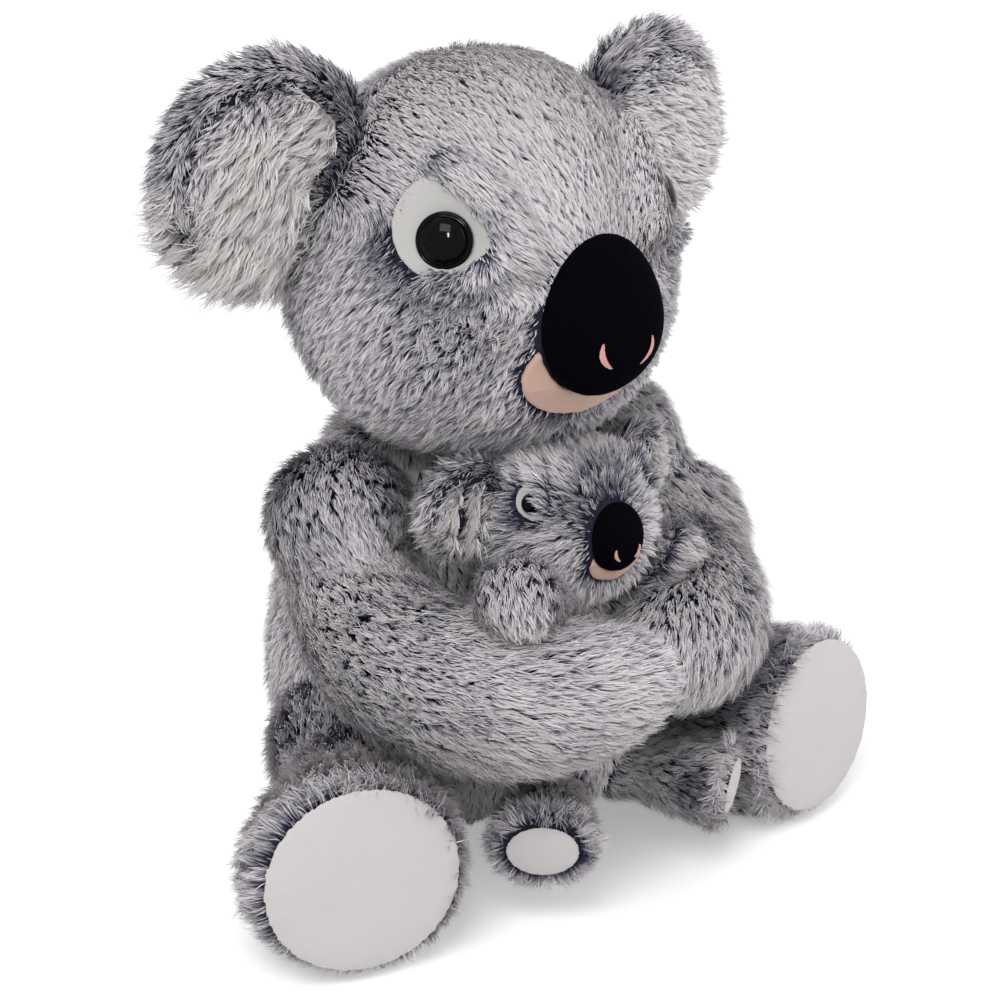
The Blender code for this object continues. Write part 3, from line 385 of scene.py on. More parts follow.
def plain_mesh(obj):
    """The mesh that an object's modifiers leave."""
    bpy.context.view_layer.update()
    graph = bpy.context.evaluated_depsgraph_get()
    return bpy.data.meshes.new_from_object(obj.evaluated_get(graph))


def covered(mesh, material):
    """The mesh in one material, shaded smooth."""
    mesh.materials.clear()
    mesh.materials.append(material)
    mesh.polygons.foreach_set("use_smooth", [True] * len(mesh.polygons))
    return mesh


def piece(name, mesh, material):
    made = bpy.data.objects.new(name, covered(mesh, material))
    PIECES.objects.link(made)
    return made


def merged_copy(node):
    """A CAD node's mesh with its loose triangles joined."""
    mesh = frame["nodes"][node].data.copy()
    maker = bmesh.new()
    maker.from_mesh(mesh)
    bmesh.ops.remove_doubles(maker, verts=maker.verts, dist=0.00001)
    maker.to_mesh(mesh)
    maker.free()
    return mesh


def softened(node, voxel, rounds, name, material, share=1.0):
    """A node's shape in small even faces, its edges and flats eased, of which a share is kept."""
    made = piece(name, merged_copy(node), material)
    remesh = made.modifiers.new("weave", "REMESH")
    remesh.mode = "VOXEL"
    remesh.voxel_size = voxel
    ease = made.modifiers.new("ease", "SMOOTH")
    ease.factor = 0.5
    ease.iterations = rounds
    if share < 1:
        made.modifiers.new("lighten", "DECIMATE").ratio = share
    mesh = plain_mesh(made)
    made.modifiers.clear()
    made.data = covered(mesh, material)
    return made


def body_with(node):
    """The body that a CAD node rides on."""
    return frame["nodes"][node]["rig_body"]


def points_of(mesh):
    places = np.zeros(len(mesh.vertices) * 3, np.float32)
    normals = np.zeros(len(mesh.vertices) * 3, np.float32)
    mesh.vertices.foreach_get("co", places)
    mesh.vertices.foreach_get("normal", normals)
    return places.reshape(-1, 3).astype(float), normals.reshape(-1, 3).astype(float)


def centre_of(node):
    low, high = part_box(node)
    return np.array((low + high) / 2)


print("skin helpers ready")

# %% [markdown]
# ## What lies next to each piece
#
# Pile grows where the cloth is free. One search tree per piece, over the triangles of every other
# solid, tells each point of the skin how far its neighbours are. Points that press on something grow
# nothing, and near a crease the pile gets shorter.

# %% Distance to the neighbours
NODE_MESHES = {}
for node, source in frame["nodes"].items():
    places, _ = points_of(source.data)
    corners = np.array([list(p.vertices) for p in source.data.polygons])
    NODE_MESHES[node] = (places, corners)


def tree_without(*left_out):
    """A search tree over all the solids but these."""
    all_places, all_corners, count = [], [], 0
    for node, (places, corners) in NODE_MESHES.items():
        if node in left_out or "washer" in node:
            continue
        all_places.append(places)
        all_corners.append(corners + count)
        count += len(places)
    return BVHTree.FromPolygons(np.vstack(all_places).tolist(), np.vstack(all_corners).tolist())


def tree_of(node):
    """A search tree over one solid."""
    places, corners = NODE_MESHES[node]
    return BVHTree.FromPolygons(places.tolist(), corners.tolist())


def clearances(places, tree, far):
    """The distance from each place to the tree, at most far."""
    found = np.full(len(places), far)
    for i, place in enumerate(places.tolist()):
        hit = tree.find_nearest(place, far)
        if hit[0] is not None:
            found[i] = hit[3]
    return found


def smooth_step(values, low, high):
    share = np.clip((values - low) / (high - low), 0, 1)
    return share * share * (3 - 2 * share)


def unit(vectors_in):
    return vectors_in / np.maximum(np.linalg.norm(vectors_in, axis=1, keepdims=True), 1e-9)


print("solids in the search:", len(NODE_MESHES))

# %% [markdown]
# ## One blade of pile
#
# Thousands of blades need a shape of very few faces. A blade is a strip that narrows to a point in
# three triangles and bends over in the middle. It is one unit long and one unit wide, so that Geometry
# Nodes can scale it, and four of them, bent and twisted in their own way, keep a coat from looking
# combed by a machine.

# %% Blade shapes
BLADES = bpy.data.collections.new("blades")
BLADE_BENDS = ((0.20, 0.00), (0.28, 0.22), (0.16, -0.25), (0.34, 0.08))
BLADE_WAIST = 0.55


def blade(number, bend, sway):
    maker = bmesh.new()
    across = maker.loops.layers.uv.new(PILE_UV)
    corners = [
        (-0.5, 0, 0), (0.5, 0, 0),
        (0.46 + sway, BLADE_WAIST, bend), (-0.46 + sway, BLADE_WAIST, bend),
        (sway * 1.6, 1, bend * 0.55),
    ]
    places = [maker.verts.new(corner) for corner in corners]
    maps = {places[0]: (-0.5, 0), places[1]: (0.5, 0), places[2]: (0.5, BLADE_WAIST),
            places[3]: (-0.5, BLADE_WAIST), places[4]: (0, 1)}
    for face in ((0, 1, 2, 3), (3, 2, 4)):
        for loop in maker.faces.new([places[i] for i in face]).loops:
            loop[across].uv = maps[loop.vert]
    mesh = bpy.data.meshes.new(f"blade_{number}")
    maker.to_mesh(mesh)
    maker.free()
    made = bpy.data.objects.new(mesh.name, mesh)
    BLADES.objects.link(made)
    return made


for number, (bend, sway) in enumerate(BLADE_BENDS):
    blade(number, bend, sway)

# %% [markdown]
# ## Pile by Geometry Nodes
#
# The tree scatters roots over the skin, and at each root reads which way the pile lies there, how long
# it is and how pale. Real pile mats into locks: the tips of near blades lean to one point. A Voronoi
# texture cuts space into small cells, and each blade turns part of the way towards the tip of the
# lock in its cell. The blades are then realised into a mesh, kept off the floor, and given their UV.

# %% The pile tree
def pile_tree():
    tree = bpy.data.node_groups.new("pile", "GeometryNodeTree")
    given, result = sockets(
        tree,
        [
            ("Geometry", "NodeSocketGeometry", None),
            ("Blades per square metre", "NodeSocketFloat", 1e6),
            ("Length", "NodeSocketFloat", 0.01),
            ("Width", "NodeSocketFloat", 0.0006),
            ("Lift", "NodeSocketFloat", 0.5),
            ("Lock size", "NodeSocketFloat", 0.004),
            ("Lock share", "NodeSocketFloat", 0.6),
            ("Stray", "NodeSocketFloat", 0.25),
            ("Tone spread", "NodeSocketFloat", 0.42),
            ("Seed", "NodeSocketInt", 1),
            ("Blades", "NodeSocketCollection", None),
            ("Material", "NodeSocketMaterial", None),
        ],
        [("Geometry", "NodeSocketGeometry")],
    )
    use = given.outputs

    def read(name, kind):
        return out(add(tree, "GeometryNodeInputNamedAttribute", {"Name": name}, data_type=kind), "Attribute")

    def store(geometry, name, value, kind, domain="POINT"):
        made = add(tree, "GeometryNodeStoreNamedAttribute", {"Geometry": geometry, "Name": name},
                   data_type=kind, domain=domain)
        tree.links.new(value, next(s for s in made.inputs if s.name == "Value" and s.enabled))
        return out(made)

    def chance(kind, keys, low, high, more_seed):
        """A random value for each blade. The keys are the numbers of the sockets for its ends."""
        seed = maths(tree, "ADD", use["Seed"], more_seed)
        made = add(tree, "FunctionNodeRandomValue", {keys[0]: low, keys[1]: high, "Seed": seed},
                   data_type=kind)
        return out(made, "Value")

    pile = read("pile", "FLOAT")
    density = maths(tree, "MULTIPLY", use["Blades per square metre"], read("cover", "FLOAT"))
    roots = add(tree, "GeometryNodeDistributePointsOnFaces",
                {"Mesh": use["Geometry"], "Density": density, "Seed": use["Seed"]})
    kept = store(out(roots, "Points"), "up", out(roots, "Normal"), "FLOAT_VECTOR")
    up = read("up", "FLOAT_VECTOR")
    lay = read("lay", "FLOAT_VECTOR")
    place = out(add(tree, "GeometryNodeInputPosition"))
    cell = add(tree, "ShaderNodeCombineXYZ", {way: use["Lock size"] for way in "XYZ"})
    at = vectors(tree, "DIVIDE", place, out(cell))
    cells = add(tree, "ShaderNodeTexVoronoi", {"Vector": at, "Scale": 1.0, "Randomness": 1.0})
    lock_root = vectors(tree, "SCALE", out(cells, "Position"), use["Lock size"])
    ones = (1.0, 1.0, 1.0)
    lock_random = vectors(tree, "SUBTRACT", vectors(tree, "SCALE", out(cells, "Color"), 2.0), ones)
    spread = chance("FLOAT_VECTOR", (0, 1), (-1.0, -1.0, -1.0), ones, 0.0)
    vary = chance("FLOAT", (2, 3), 0.72, 1.12, 7.0)
    long = maths(tree, "MULTIPLY", maths(tree, "MULTIPLY", use["Length"], pile), vary)
    stray = vectors(tree, "SCALE", spread, use["Stray"])
    lock_stray = vectors(tree, "SCALE", lock_random, maths(tree, "MULTIPLY", use["Stray"], 1.3))
    lean = vectors(tree, "ADD", lay, vectors(tree, "SCALE", up, use["Lift"]))
    lock_lean = vectors(tree, "ADD", lean, lock_stray)
    lock_way = vectors(tree, "NORMALIZE", lock_lean)
    own_way = vectors(tree, "NORMALIZE", vectors(tree, "ADD", lock_lean, stray))
    own_tip = vectors(tree, "ADD", place, vectors(tree, "SCALE", own_way, long))
    lock_tip = vectors(tree, "ADD", lock_root, vectors(tree, "SCALE", lock_way, long))
    tip = add(tree, "ShaderNodeMix", {"Factor": use["Lock share"], 4: own_tip, 5: lock_tip},
              data_type="VECTOR")
    way = vectors(tree, "SUBTRACT", tip.outputs[1], place)
    reach = maths(tree, "MINIMUM", vectors(tree, "LENGTH", way), maths(tree, "MULTIPLY", long, 1.15))
    first = add(tree, "FunctionNodeAlignRotationToVector", {"Vector": way}, axis="Y")
    turned = add(tree, "FunctionNodeAlignRotationToVector", {"Rotation": out(first), "Vector": up},
                 axis="Z", pivot_axis="Y")
    size = add(tree, "ShaderNodeCombineXYZ", {"X": use["Width"], "Y": reach, "Z": reach})
    shapes = add(tree, "GeometryNodeCollectionInfo",
                 {"Collection": use["Blades"], "Separate Children": True, "Reset Children": True})
    lock_tone = out(add(tree, "ShaderNodeSeparateXYZ", {0: lock_random}), "X")
    own_tone = chance("FLOAT", (2, 3), -1.0, 1.0, 5.0)
    jitter = maths(tree, "MULTIPLY_ADD", own_tone, 0.7, maths(tree, "MULTIPLY", lock_tone, 0.5))
    tone = maths(tree, "MULTIPLY_ADD", jitter, use["Tone spread"], read("tone", "FLOAT"))
    planted = add(tree, "GeometryNodeInstanceOnPoints", {
        "Points": store(kept, "tone", tone, "FLOAT"), "Instance": out(shapes), "Pick Instance": True,
        "Instance Index": chance("INT", (4, 5), 0, 99, 3.0), "Rotation": out(turned), "Scale": out(size)})
    solid = add(tree, "GeometryNodeRealizeInstances", {"Geometry": out(planted)})
    flat = add(tree, "ShaderNodeSeparateXYZ", {0: read(PILE_UV, "FLOAT_VECTOR")})
    across = maths(tree, "MULTIPLY_ADD", out(flat, "X"), 0.03, read("tone", "FLOAT"))
    inside = maths(tree, "MINIMUM", maths(tree, "MAXIMUM", across, 0.01), 0.99)
    spot = add(tree, "ShaderNodeCombineXYZ", {"X": inside, "Y": out(flat, "Y")})
    mapped = store(out(solid), PILE_UV, out(spot), "FLOAT2", "CORNER")
    now = add(tree, "ShaderNodeSeparateXYZ", {0: out(add(tree, "GeometryNodeInputPosition"))})
    height = maths(tree, "MAXIMUM", out(now, "Z"), 0.0003)
    off_floor = add(tree, "ShaderNodeCombineXYZ", {"X": out(now, "X"), "Y": out(now, "Y"), "Z": height})
    above = add(tree, "GeometryNodeSetPosition", {"Geometry": mapped, "Position": out(off_floor)})
    painted = add(tree, "GeometryNodeSetMaterial", {"Geometry": out(above), "Material": use["Material"]})
    tree.links.new(out(painted), result.inputs["Geometry"])
    return tree


PILE_TREE = pile_tree()
print("pile tree nodes:", len(PILE_TREE.nodes))

# %% [markdown]
# ## Growing the pile on a skin
#
# A modifier's inputs are set by their identifiers, because two sockets may share a name. The result is
# turned into a plain mesh at once and the attributes that only steered the tree are dropped.

# %% Grow one layer of pile
SOCKET_OF = {
    item.name: item.identifier for item in PILE_TREE.interface.items_tree if item.in_out == "INPUT"
}
STEERING = ("pile", "cover", "lay", "tone", "up")
totals = {"blades": 0}


def drop_steering(mesh):
    """Removes the attributes that only steered the pile."""
    for key in STEERING:
        found = mesh.attributes.get(key)
        if found:
            mesh.attributes.remove(found)


def grow(skin, name, body, slot, material, density, length, width, seed, where=None, **more):
    """A layer of pile on a skin, as a mesh that rides on its body. Density is in blades per mm2."""
    carrier = bpy.data.objects.new(name + "_carrier", skin.data.copy())
    PIECES.objects.link(carrier)
    if where is not None:
        cover = carrier.data.attributes["cover"].data
        shares = np.zeros(len(cover), np.float32)
        cover.foreach_get("value", shares)
        cover.foreach_set("value", (shares * where).astype(np.float32))
    step = carrier.modifiers.new("pile", "NODES")
    step.node_group = PILE_TREE
    values = {
        "Blades per square metre": density * 1e6, "Length": length, "Width": width, "Seed": seed,
        "Blades": BLADES, "Material": material, **more,
    }
    for key, value in values.items():
        step[SOCKET_OF[key]] = value
    mesh = plain_mesh(carrier)
    bpy.data.objects.remove(carrier)
    drop_steering(mesh)
    made = piece(name, mesh, material)
    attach(made, body)
    totals["blades"] += len(mesh.polygons) // 2
    print(f"{name}: {len(mesh.polygons) // 2} blades")
    return made


def set_attribute(mesh, name, values, kind="FLOAT"):
    made = mesh.attributes.new(name, kind, "POINT")
    field = "value" if kind == "FLOAT" else "vector"
    made.data.foreach_set(field, np.asarray(values, np.float32).ravel())


print("steering attributes:", STEERING)

# %% [markdown]
# ## Steering the coat
#
# Each stuffed piece says which way its pile lies, how long it is and how pale it is, as a function of
# the place on its skin. The skin sinks where it is free, and a slow noise makes the pale and dark
# cloudy patches that frosted plush gets from handling.

# %% Dress a stuffed piece
def cloudy(places, size, seed):
    """A slow noise from -1 to 1 made of a few waves."""
    chance = np.random.default_rng(seed)
    total = np.zeros(len(places))
    for _ in range(7):
        way = chance.normal(size=3)
        way /= np.linalg.norm(way)
        length = size * chance.uniform(0.6, 1.6)
        total += np.sin(places @ way * 2 * pi / length + chance.uniform(0, 2 * pi))
    return np.clip(total / 3.2, -1, 1)


def coat_skin(node, voxel, rounds, sink, steer, near, ridges=(), material=None, tuck=None):
    """The cloth skin of a node, sunk where it is free, with the attributes that steer its pile."""
    skin = softened(node, voxel, rounds, node + "_skin", material or BACKING_AND_SHADE_CLOTH)
    places, normals = points_of(skin.data)
    raised = np.zeros(len(places))
    for path, height, width in ridges:
        for step, spot in enumerate(path):
            share = height * min(1, (step + 1) / (0.4 * len(path)))
            raised = np.maximum(raised, share * ramp(places, spot, width))
    places = places + normals * raised[:, None]
    room = clearances(places, tree_without(node), near[1] * 2)
    folded = smooth_step(raised, 0.0016, 0.0034)
    free = np.maximum(smooth_step(room, *near), folded)
    depth = sink * free * (1 - folded)
    if tuck:
        rim, reach, under = tuck
        gap = clearances(places, tree_of(rim), reach)
        depth = np.maximum(depth, under * (1 - smooth_step(gap, reach * 0.3, reach)))
    sunk = places - normals * depth[:, None]
    sunk[:, 2] = np.maximum(sunk[:, 2], 0.0004)
    skin.data.vertices.foreach_set("co", sunk.astype(np.float32).ravel())
    skin.data.update()
    plan = {"comb": 1.0, "cover": 1.0, **steer(places, normals)}
    lay = plan["lay"] - normals * np.sum(plan["lay"] * normals, axis=1, keepdims=True)
    lay = unit(lay) * np.broadcast_to(plan["comb"], len(places))[:, None]
    standing = smooth_step(places[:, 2], 0.0005, 0.004)
    grown = np.maximum(smooth_step(room, near[0], (near[0] + near[1]) / 2), folded) * standing
    set_attribute(skin.data, "lay", lay, "FLOAT_VECTOR")
    set_attribute(skin.data, "pile", np.clip(plan["pile"] * (0.45 + 0.55 * free), 0, 2))
    set_attribute(skin.data, "cover", grown * plan["cover"])
    set_attribute(skin.data, "tone", np.clip(plan["tone"], 0.03, 0.97))
    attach(skin, body_with(node))
    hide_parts(node)
    print(f"{node}: skin of {len(places)} points, {free.mean():.2f} of it free")
    return skin


def ramp(places, point, reach):
    """1 at a point, falling to 0 over a reach."""
    return np.exp(-((np.linalg.norm(places - np.array(point), axis=1) / reach) ** 2))


print("coats ready")

# %% [markdown]
# ## The mother's head
#
# The pile on the forehead lies towards the nose and is the palest. On the cheeks it runs out and down,
# away from the face, and below the eyes it is short and curly. A fold of cloth over each eye makes the
# brow, which covers the upper inner part of the felt.

# %% Head
SIDES = {"right": -1, "left": 1}
SCALES = {"": 1.0, "baby_": 0.5}  # the baby is about half the mother's size
HEAD_CENTRE = centre_of("head")
NOSE_CENTRE = centre_of("nose")
EYES = {side: centre_of("eye_patch_" + side) for side in SIDES}
PILE_SINK = 0.0032  # how deep the mother's free cloth lies under the outer face of her solids


def joint_place(name):
    return next(j["pos_m"] for j in frame["joints"] if j["name"] == name)


def ear_joint(side, prefix=""):
    return joint_place(f"{prefix}ear_{side}")


def face_frame(spot, centre, side):
    """Three ways at a spot of the face: towards the nose, up, and out."""
    way_out = (Vector(spot) - Vector(centre)).normalized()
    inward = Vector((0, 0, 1)).cross(way_out).normalized() * -SIDES[side]
    return inward, way_out.cross(inward) * -SIDES[side], way_out


def on_face(node, centre, target):
    """Where the line from a head's centre to a target leaves its solid."""
    way = (Vector(target) - Vector(centre)).normalized()
    return tree_of(node).ray_cast(Vector(centre) + way * 0.3, -way)[0]


def seen(node, across, down):
    """The place on a node's solid that the camera sees at a point of the picture."""
    hit = tree_of(node).ray_cast(camera.location, sight(across, down))[0]
    return hit if hit is not None else Vector(centre_of(node))


# Darker places of the pile. Some are its own dark whorls and streaks. Others are painted shade in hollows:
# the brow's fold, the hollow of an ear's rim, and the gap between arm and leg.
DARK_PILE_AND_SHADE_SPOTS = {  # shares of the picture across and down, reach in metres, and how much darker
    "head": (
        (0.437, 0.158, 0.009, 0.45), (0.492, 0.216, 0.006, 0.55), (0.388, 0.225, 0.006, 0.35),
        (0.408, 0.262, 0.007, 0.30), (0.356, 0.140, 0.008, 0.30),
    ),
    "arm_right": (
        (0.290, 0.468, 0.006, 0.55), (0.318, 0.425, 0.008, 0.40), (0.385, 0.485, 0.008, 0.45),
        (0.383, 0.515, 0.006, 0.35),
    ),
    "arm_left": (
        (0.688, 0.535, 0.010, 0.55), (0.742, 0.575, 0.006, 0.55), (0.740, 0.600, 0.006, 0.55),
        (0.735, 0.640, 0.006, 0.35), (0.610, 0.735, 0.008, 0.40), (0.660, 0.735, 0.006, 0.30),
    ),
    "leg_right": (
        (0.290, 0.715, 0.012, 0.60), (0.262, 0.780, 0.010, 0.50), (0.268, 0.742, 0.008, 0.50),
        (0.285, 0.812, 0.009, 0.55), (0.345, 0.735, 0.010, 0.45), (0.262, 0.850, 0.007, 0.40),
    ),
    "leg_left": ((0.775, 0.640, 0.012, 0.65), (0.752, 0.680, 0.022, 0.80), (0.745, 0.720, 0.012, 0.60)),
    "ear_left": ((0.607, 0.098, 0.009, 0.50), (0.660, 0.030, 0.005, 0.35)),
    "ear_right": (
        (0.350, 0.092, 0.010, 0.40), (0.200, 0.110, 0.010, 0.25), (0.170, 0.150, 0.009, 0.25),
        (0.270, 0.060, 0.007, 0.25),
    ),
    "baby_head": (
        (0.604, 0.478, 0.010, 0.95), (0.572, 0.510, 0.007, 0.75), (0.548, 0.500, 0.005, 0.60),
        (0.525, 0.515, 0.004, 0.40), (0.552, 0.468, 0.004, 0.35),
    ),
    "baby_arm_right": ((0.545, 0.603, 0.006, 0.80), (0.515, 0.600, 0.005, 0.55)),
    "baby_leg_right": ((0.545, 0.805, 0.008, 0.50), (0.500, 0.830, 0.006, 0.40)),
    "baby_leg_left": ((0.685, 0.785, 0.009, 0.60), (0.690, 0.745, 0.007, 0.40)),
}


def spots_of(node):
    """The dark spots of a node's pile, partly its own dark whorls and partly painted shade, as places on its
    solid.
    """
    return [
        (seen(node, across, down), reach, depth) for across, down, reach, depth in DARK_PILE_AND_SHADE_SPOTS.get(node, ())
    ]


def darkened(places, spots):
    """How much darker the pile is at each place."""
    total = np.zeros(len(places))
    for spot, reach, depth in spots:
        total = np.maximum(total, depth * ramp(places, spot, reach))
    return total


def brow(node, centre, spot, side, line, size=1.0):
    """The path of a brow fold, from points in millimetres: towards the nose and up from the eye."""
    inward, up, _ = face_frame(spot, centre, side)
    ends = [Vector(spot) + (inward * a + up * b) * 0.001 * size for a, b in line]
    path = []
    for first, second in zip(ends, ends[1:]):
        path += [on_face(node, centre, first.lerp(second, step / 5)) for step in range(5)]
    return path


BROW_LINE = ((-15, 25.5), (-5, 23.5), (6, 18.5), (14, 11.5), (20, 2.5), (24, -9))
BROW_HEIGHT = {"right": 0.0062, "left": 0.0064}
LID_LINE = ((-14, -16), (-9, -19), (-3, -19), (3, -18.2), (8, -16.4), (13, -13.4), (17, -9))
HEAD_SPOTS = spots_of("head")
FOREHEAD_LINE = EYES["right"][2]


def head_steer(places, normals):
    count = len(places)
    from_centre = unit(places - HEAD_CENTRE)
    to_nose = unit(NOSE_CENTRE - places)
    outward = np.stack([np.sign(places[:, 0]) * 0.7, np.full(count, 0.3), np.full(count, -0.75)], axis=1)
    inner = 1 - smooth_step(np.abs(places[:, 0]), 0.030, 0.050)
    high = smooth_step(places[:, 2], FOREHEAD_LINE - 0.010, FOREHEAD_LINE + 0.014)
    bridge = inner * smooth_step(places[:, 2], NOSE_CENTRE[2], NOSE_CENTRE[2] + 0.02)
    high = np.maximum(high, bridge)[:, None]
    back = smooth_step(from_centre[:, 1], 0.05, 0.5)[:, None]
    lay = to_nose * high + outward * (1 - high)
    lay = lay * (1 - back) + np.array([0, 0.3, -1.0]) * back
    eye_gap = np.min([np.linalg.norm(places - spot, axis=1) for spot in EYES.values()], axis=0)
    pile = 1.0 - 0.12 * high[:, 0] * (1 - back[:, 0]) - 0.3 * ramp(places, NOSE_CENTRE, 0.036)
    tone = 0.58 + 0.36 * high[:, 0] * (1 - 0.3 * back[:, 0]) + 0.08 * cloudy(places, 0.045, 3)
    # Darker pile in a ring round each eye: partly the dark roots that show where the pile parts, partly
    # painted shade of the hollow round the felt.
    tone -= 0.25 * np.exp(-(((eye_gap - 0.024) / 0.006) ** 2)) * (1 - 0.5 * high[:, 0])
    comb = 1 + 0.9 * high[:, 0] * (1 - back[:, 0])
    for side in SIDES:
        # Darker round each ear's root: partly dark pile, partly painted shade in the crease where the ear
        # meets the head.
        tone -= 0.5 * ramp(places, ear_joint(side), 0.024)
        inward, up, _ = face_frame(EYES[side], HEAD_CENTRE, side)
        curls = Vector(EYES[side]) + inward * 0.004 - up * 0.036
        comb -= 0.75 * ramp(places, curls, 0.024)
        pile -= 0.30 * ramp(places, curls, 0.024)
        tone -= 0.12 * ramp(places, curls, 0.024)
    tone -= darkened(places, HEAD_SPOTS)
    return {"lay": lay, "pile": pile, "tone": tone, "comb": np.clip(comb, 0.15, 2)}


head_brows = [
    (brow("head", HEAD_CENTRE, EYES[side], side, BROW_LINE), BROW_HEIGHT[side], 0.0058) for side in SIDES
]
head_lids = [(brow("head", HEAD_CENTRE, EYES[side], side, LID_LINE), 0.0042, 0.0036) for side in SIDES]
head_skin = coat_skin("head", 0.0026, 12, PILE_SINK, head_steer, (0.0006, 0.0042),
                      ridges=head_brows + head_lids)
HEAD_COAT = {"density": 1.02, "length": 0.0095, "width": 0.00040, "Lock size": 0.0020, "Lock share": 0.55,
             "Lift": 0.42, "Stray": 0.26}
for seed in (11, 12, 13):
    grow(head_skin, f"head_pile_{seed - 10}", "head_and_face", "head_fur", GREY_PILE, seed=seed, **HEAD_COAT)
drop_steering(head_skin.data)

# %% [markdown]
# ## Body, arms and legs
#
# The body's pile hangs down. An arm's pile runs from the shoulder round to the paw, which is the
# way along a circle about the baby. A leg's pile runs to the foot and fans out round the sole.

# %% Body
def body_steer(places, normals):
    lay = np.tile([0.0, 0.1, -1.0], (len(places), 1))
    return {"lay": lay, "pile": 0.85, "tone": 0.97 + 0.12 * cloudy(places, 0.05, 21)}


body_skin = coat_skin("body", 0.0034, 10, PILE_SINK, body_steer, (0.0012, 0.0045))
BODY_COAT = {"density": 0.70, "length": 0.0105, "width": 0.0005, "Lock size": 0.0026, "Lift": 0.4}
for seed in (21, 22):
    grow(body_skin, f"body_pile_{seed - 20}", "torso", "body_fur", GREY_PILE, seed=seed, **BODY_COAT)
drop_steering(body_skin.data)

# %% Arms
HUG_CENTRE = np.array([0.0, -0.05, 0.1])
ARM_COAT = {"density": 1.26, "length": 0.0100, "width": 0.00042, "Lock size": 0.0021, "Lift": 0.42}
SHOULDER_SPOTS = ((0.695, 0.495), (0.706, 0.506), (0.720, 0.518))  # where the left arm is stuffed fuller
SHOULDER_BULGE = ([seen("arm_left", *spot) for spot in SHOULDER_SPOTS] * 3, 0.0105, 0.0185)


def arm_steer(side):
    spots = spots_of("arm_" + side)

    def steer(places, normals):
        away = places - HUG_CENTRE
        turn = -SIDES[side]
        fall = np.full(len(places), -0.008)
        round_way = np.stack([-away[:, 1] * turn, away[:, 0] * turn, fall], axis=1)
        down = smooth_step(places[:, 1], -0.045, 0.0)[:, None]
        lay = unit(round_way) + np.array([0, 0, -0.8]) * down
        if side == "left":
            lay = lay + np.array([0, 0, -1.6]) * (1 - down)
        shoulder = smooth_step(places[:, 2], 0.11, 0.155)
        tone = 0.77 + 0.16 * cloudy(places, 0.05, 31 + turn) - 0.26 * shoulder
        dark = darkened(places, spots)
        return {"lay": lay, "pile": 0.95, "tone": tone - dark, "comb": 1 - 0.8 * dark}
    return steer


for side in SIDES:
    bulge = [SHOULDER_BULGE] if side == "left" else []
    skin = coat_skin("arm_" + side, 0.0028, 11, PILE_SINK, arm_steer(side), (0.0012, 0.0045), ridges=bulge)
    for seed in (31, 32):
        grow(skin, f"arm_{side}_pile_{seed - 30}", side + "_arm", f"arm_{side}_fur", GREY_PILE,
             seed=seed, **ARM_COAT)
    drop_steering(skin.data)

# %% Legs
LEG_TONE = {"right": 0.86, "left": 0.77}  # the right leg shows more of its pale pile
LEG_COAT = {"density": 1.08, "length": 0.0112, "width": 0.00048, "Lock size": 0.0024, "Lift": 0.45}


def leg_steer(prefix, side, cloud):
    spots = spots_of(f"{prefix}leg_{side}")
    hip = np.array(joint_place(f"{prefix}leg_{side}"))
    foot = centre_of(f"{prefix}sole_{side}")
    axis = (foot - hip) / np.linalg.norm(foot - hip)
    rim = tree_of(f"{prefix}sole_{side}")
    scale = SCALES[prefix]

    def steer(places, normals):
        along = (places - hip) @ axis
        length = (foot - hip) @ axis
        radial = unit(places - hip - along[:, None] * axis)
        fan = smooth_step(along, length * 0.72, length * 0.97)[:, None]
        lay = axis * (1 - 0.75 * fan) + radial * 1.5 * fan
        gap = clearances(places, rim, 0.03 * scale)
        # A band along the sole's seam, where the pile is combed less. Its darker tone is painted shade: the
        # thin shadow line between pile and sole.
        seam_shade = 1 - smooth_step(gap, 0.002 * scale, 0.007 * scale)
        patches = 0.36 * cloudy(places, cloud, 41 + SIDES[side])
        tone = LEG_TONE[side] + patches - darkened(places, spots) - 0.35 * seam_shade
        cover = smooth_step(gap, 0.0012 * scale, 0.0032 * scale)
        pile = 1.0 + 0.18 * fan[:, 0]
        return {"lay": lay, "pile": pile, "tone": tone, "comb": 1 - 0.35 * seam_shade, "cover": cover}
    return steer


for side in SIDES:
    steer = leg_steer("", side, 0.04)
    tuck = ("sole_" + side, 0.005, 0.0016)
    skin = coat_skin("leg_" + side, 0.0026, 12, PILE_SINK, steer, (0.0005, 0.0040), tuck=tuck)
    for seed in (41, 42):
        grow(skin, f"leg_{side}_pile_{seed - 40}", side + "_leg", f"leg_{side}_fur", GREY_PILE,
             seed=seed, **LEG_COAT)
    drop_steering(skin.data)

# %% [markdown]
# ## Ears
#
# The back and the rim of an ear carry the grey pile, which runs out from the root. The front of its
# lower third is white pile like the lining, which is long and hangs out over the rim in tufts.

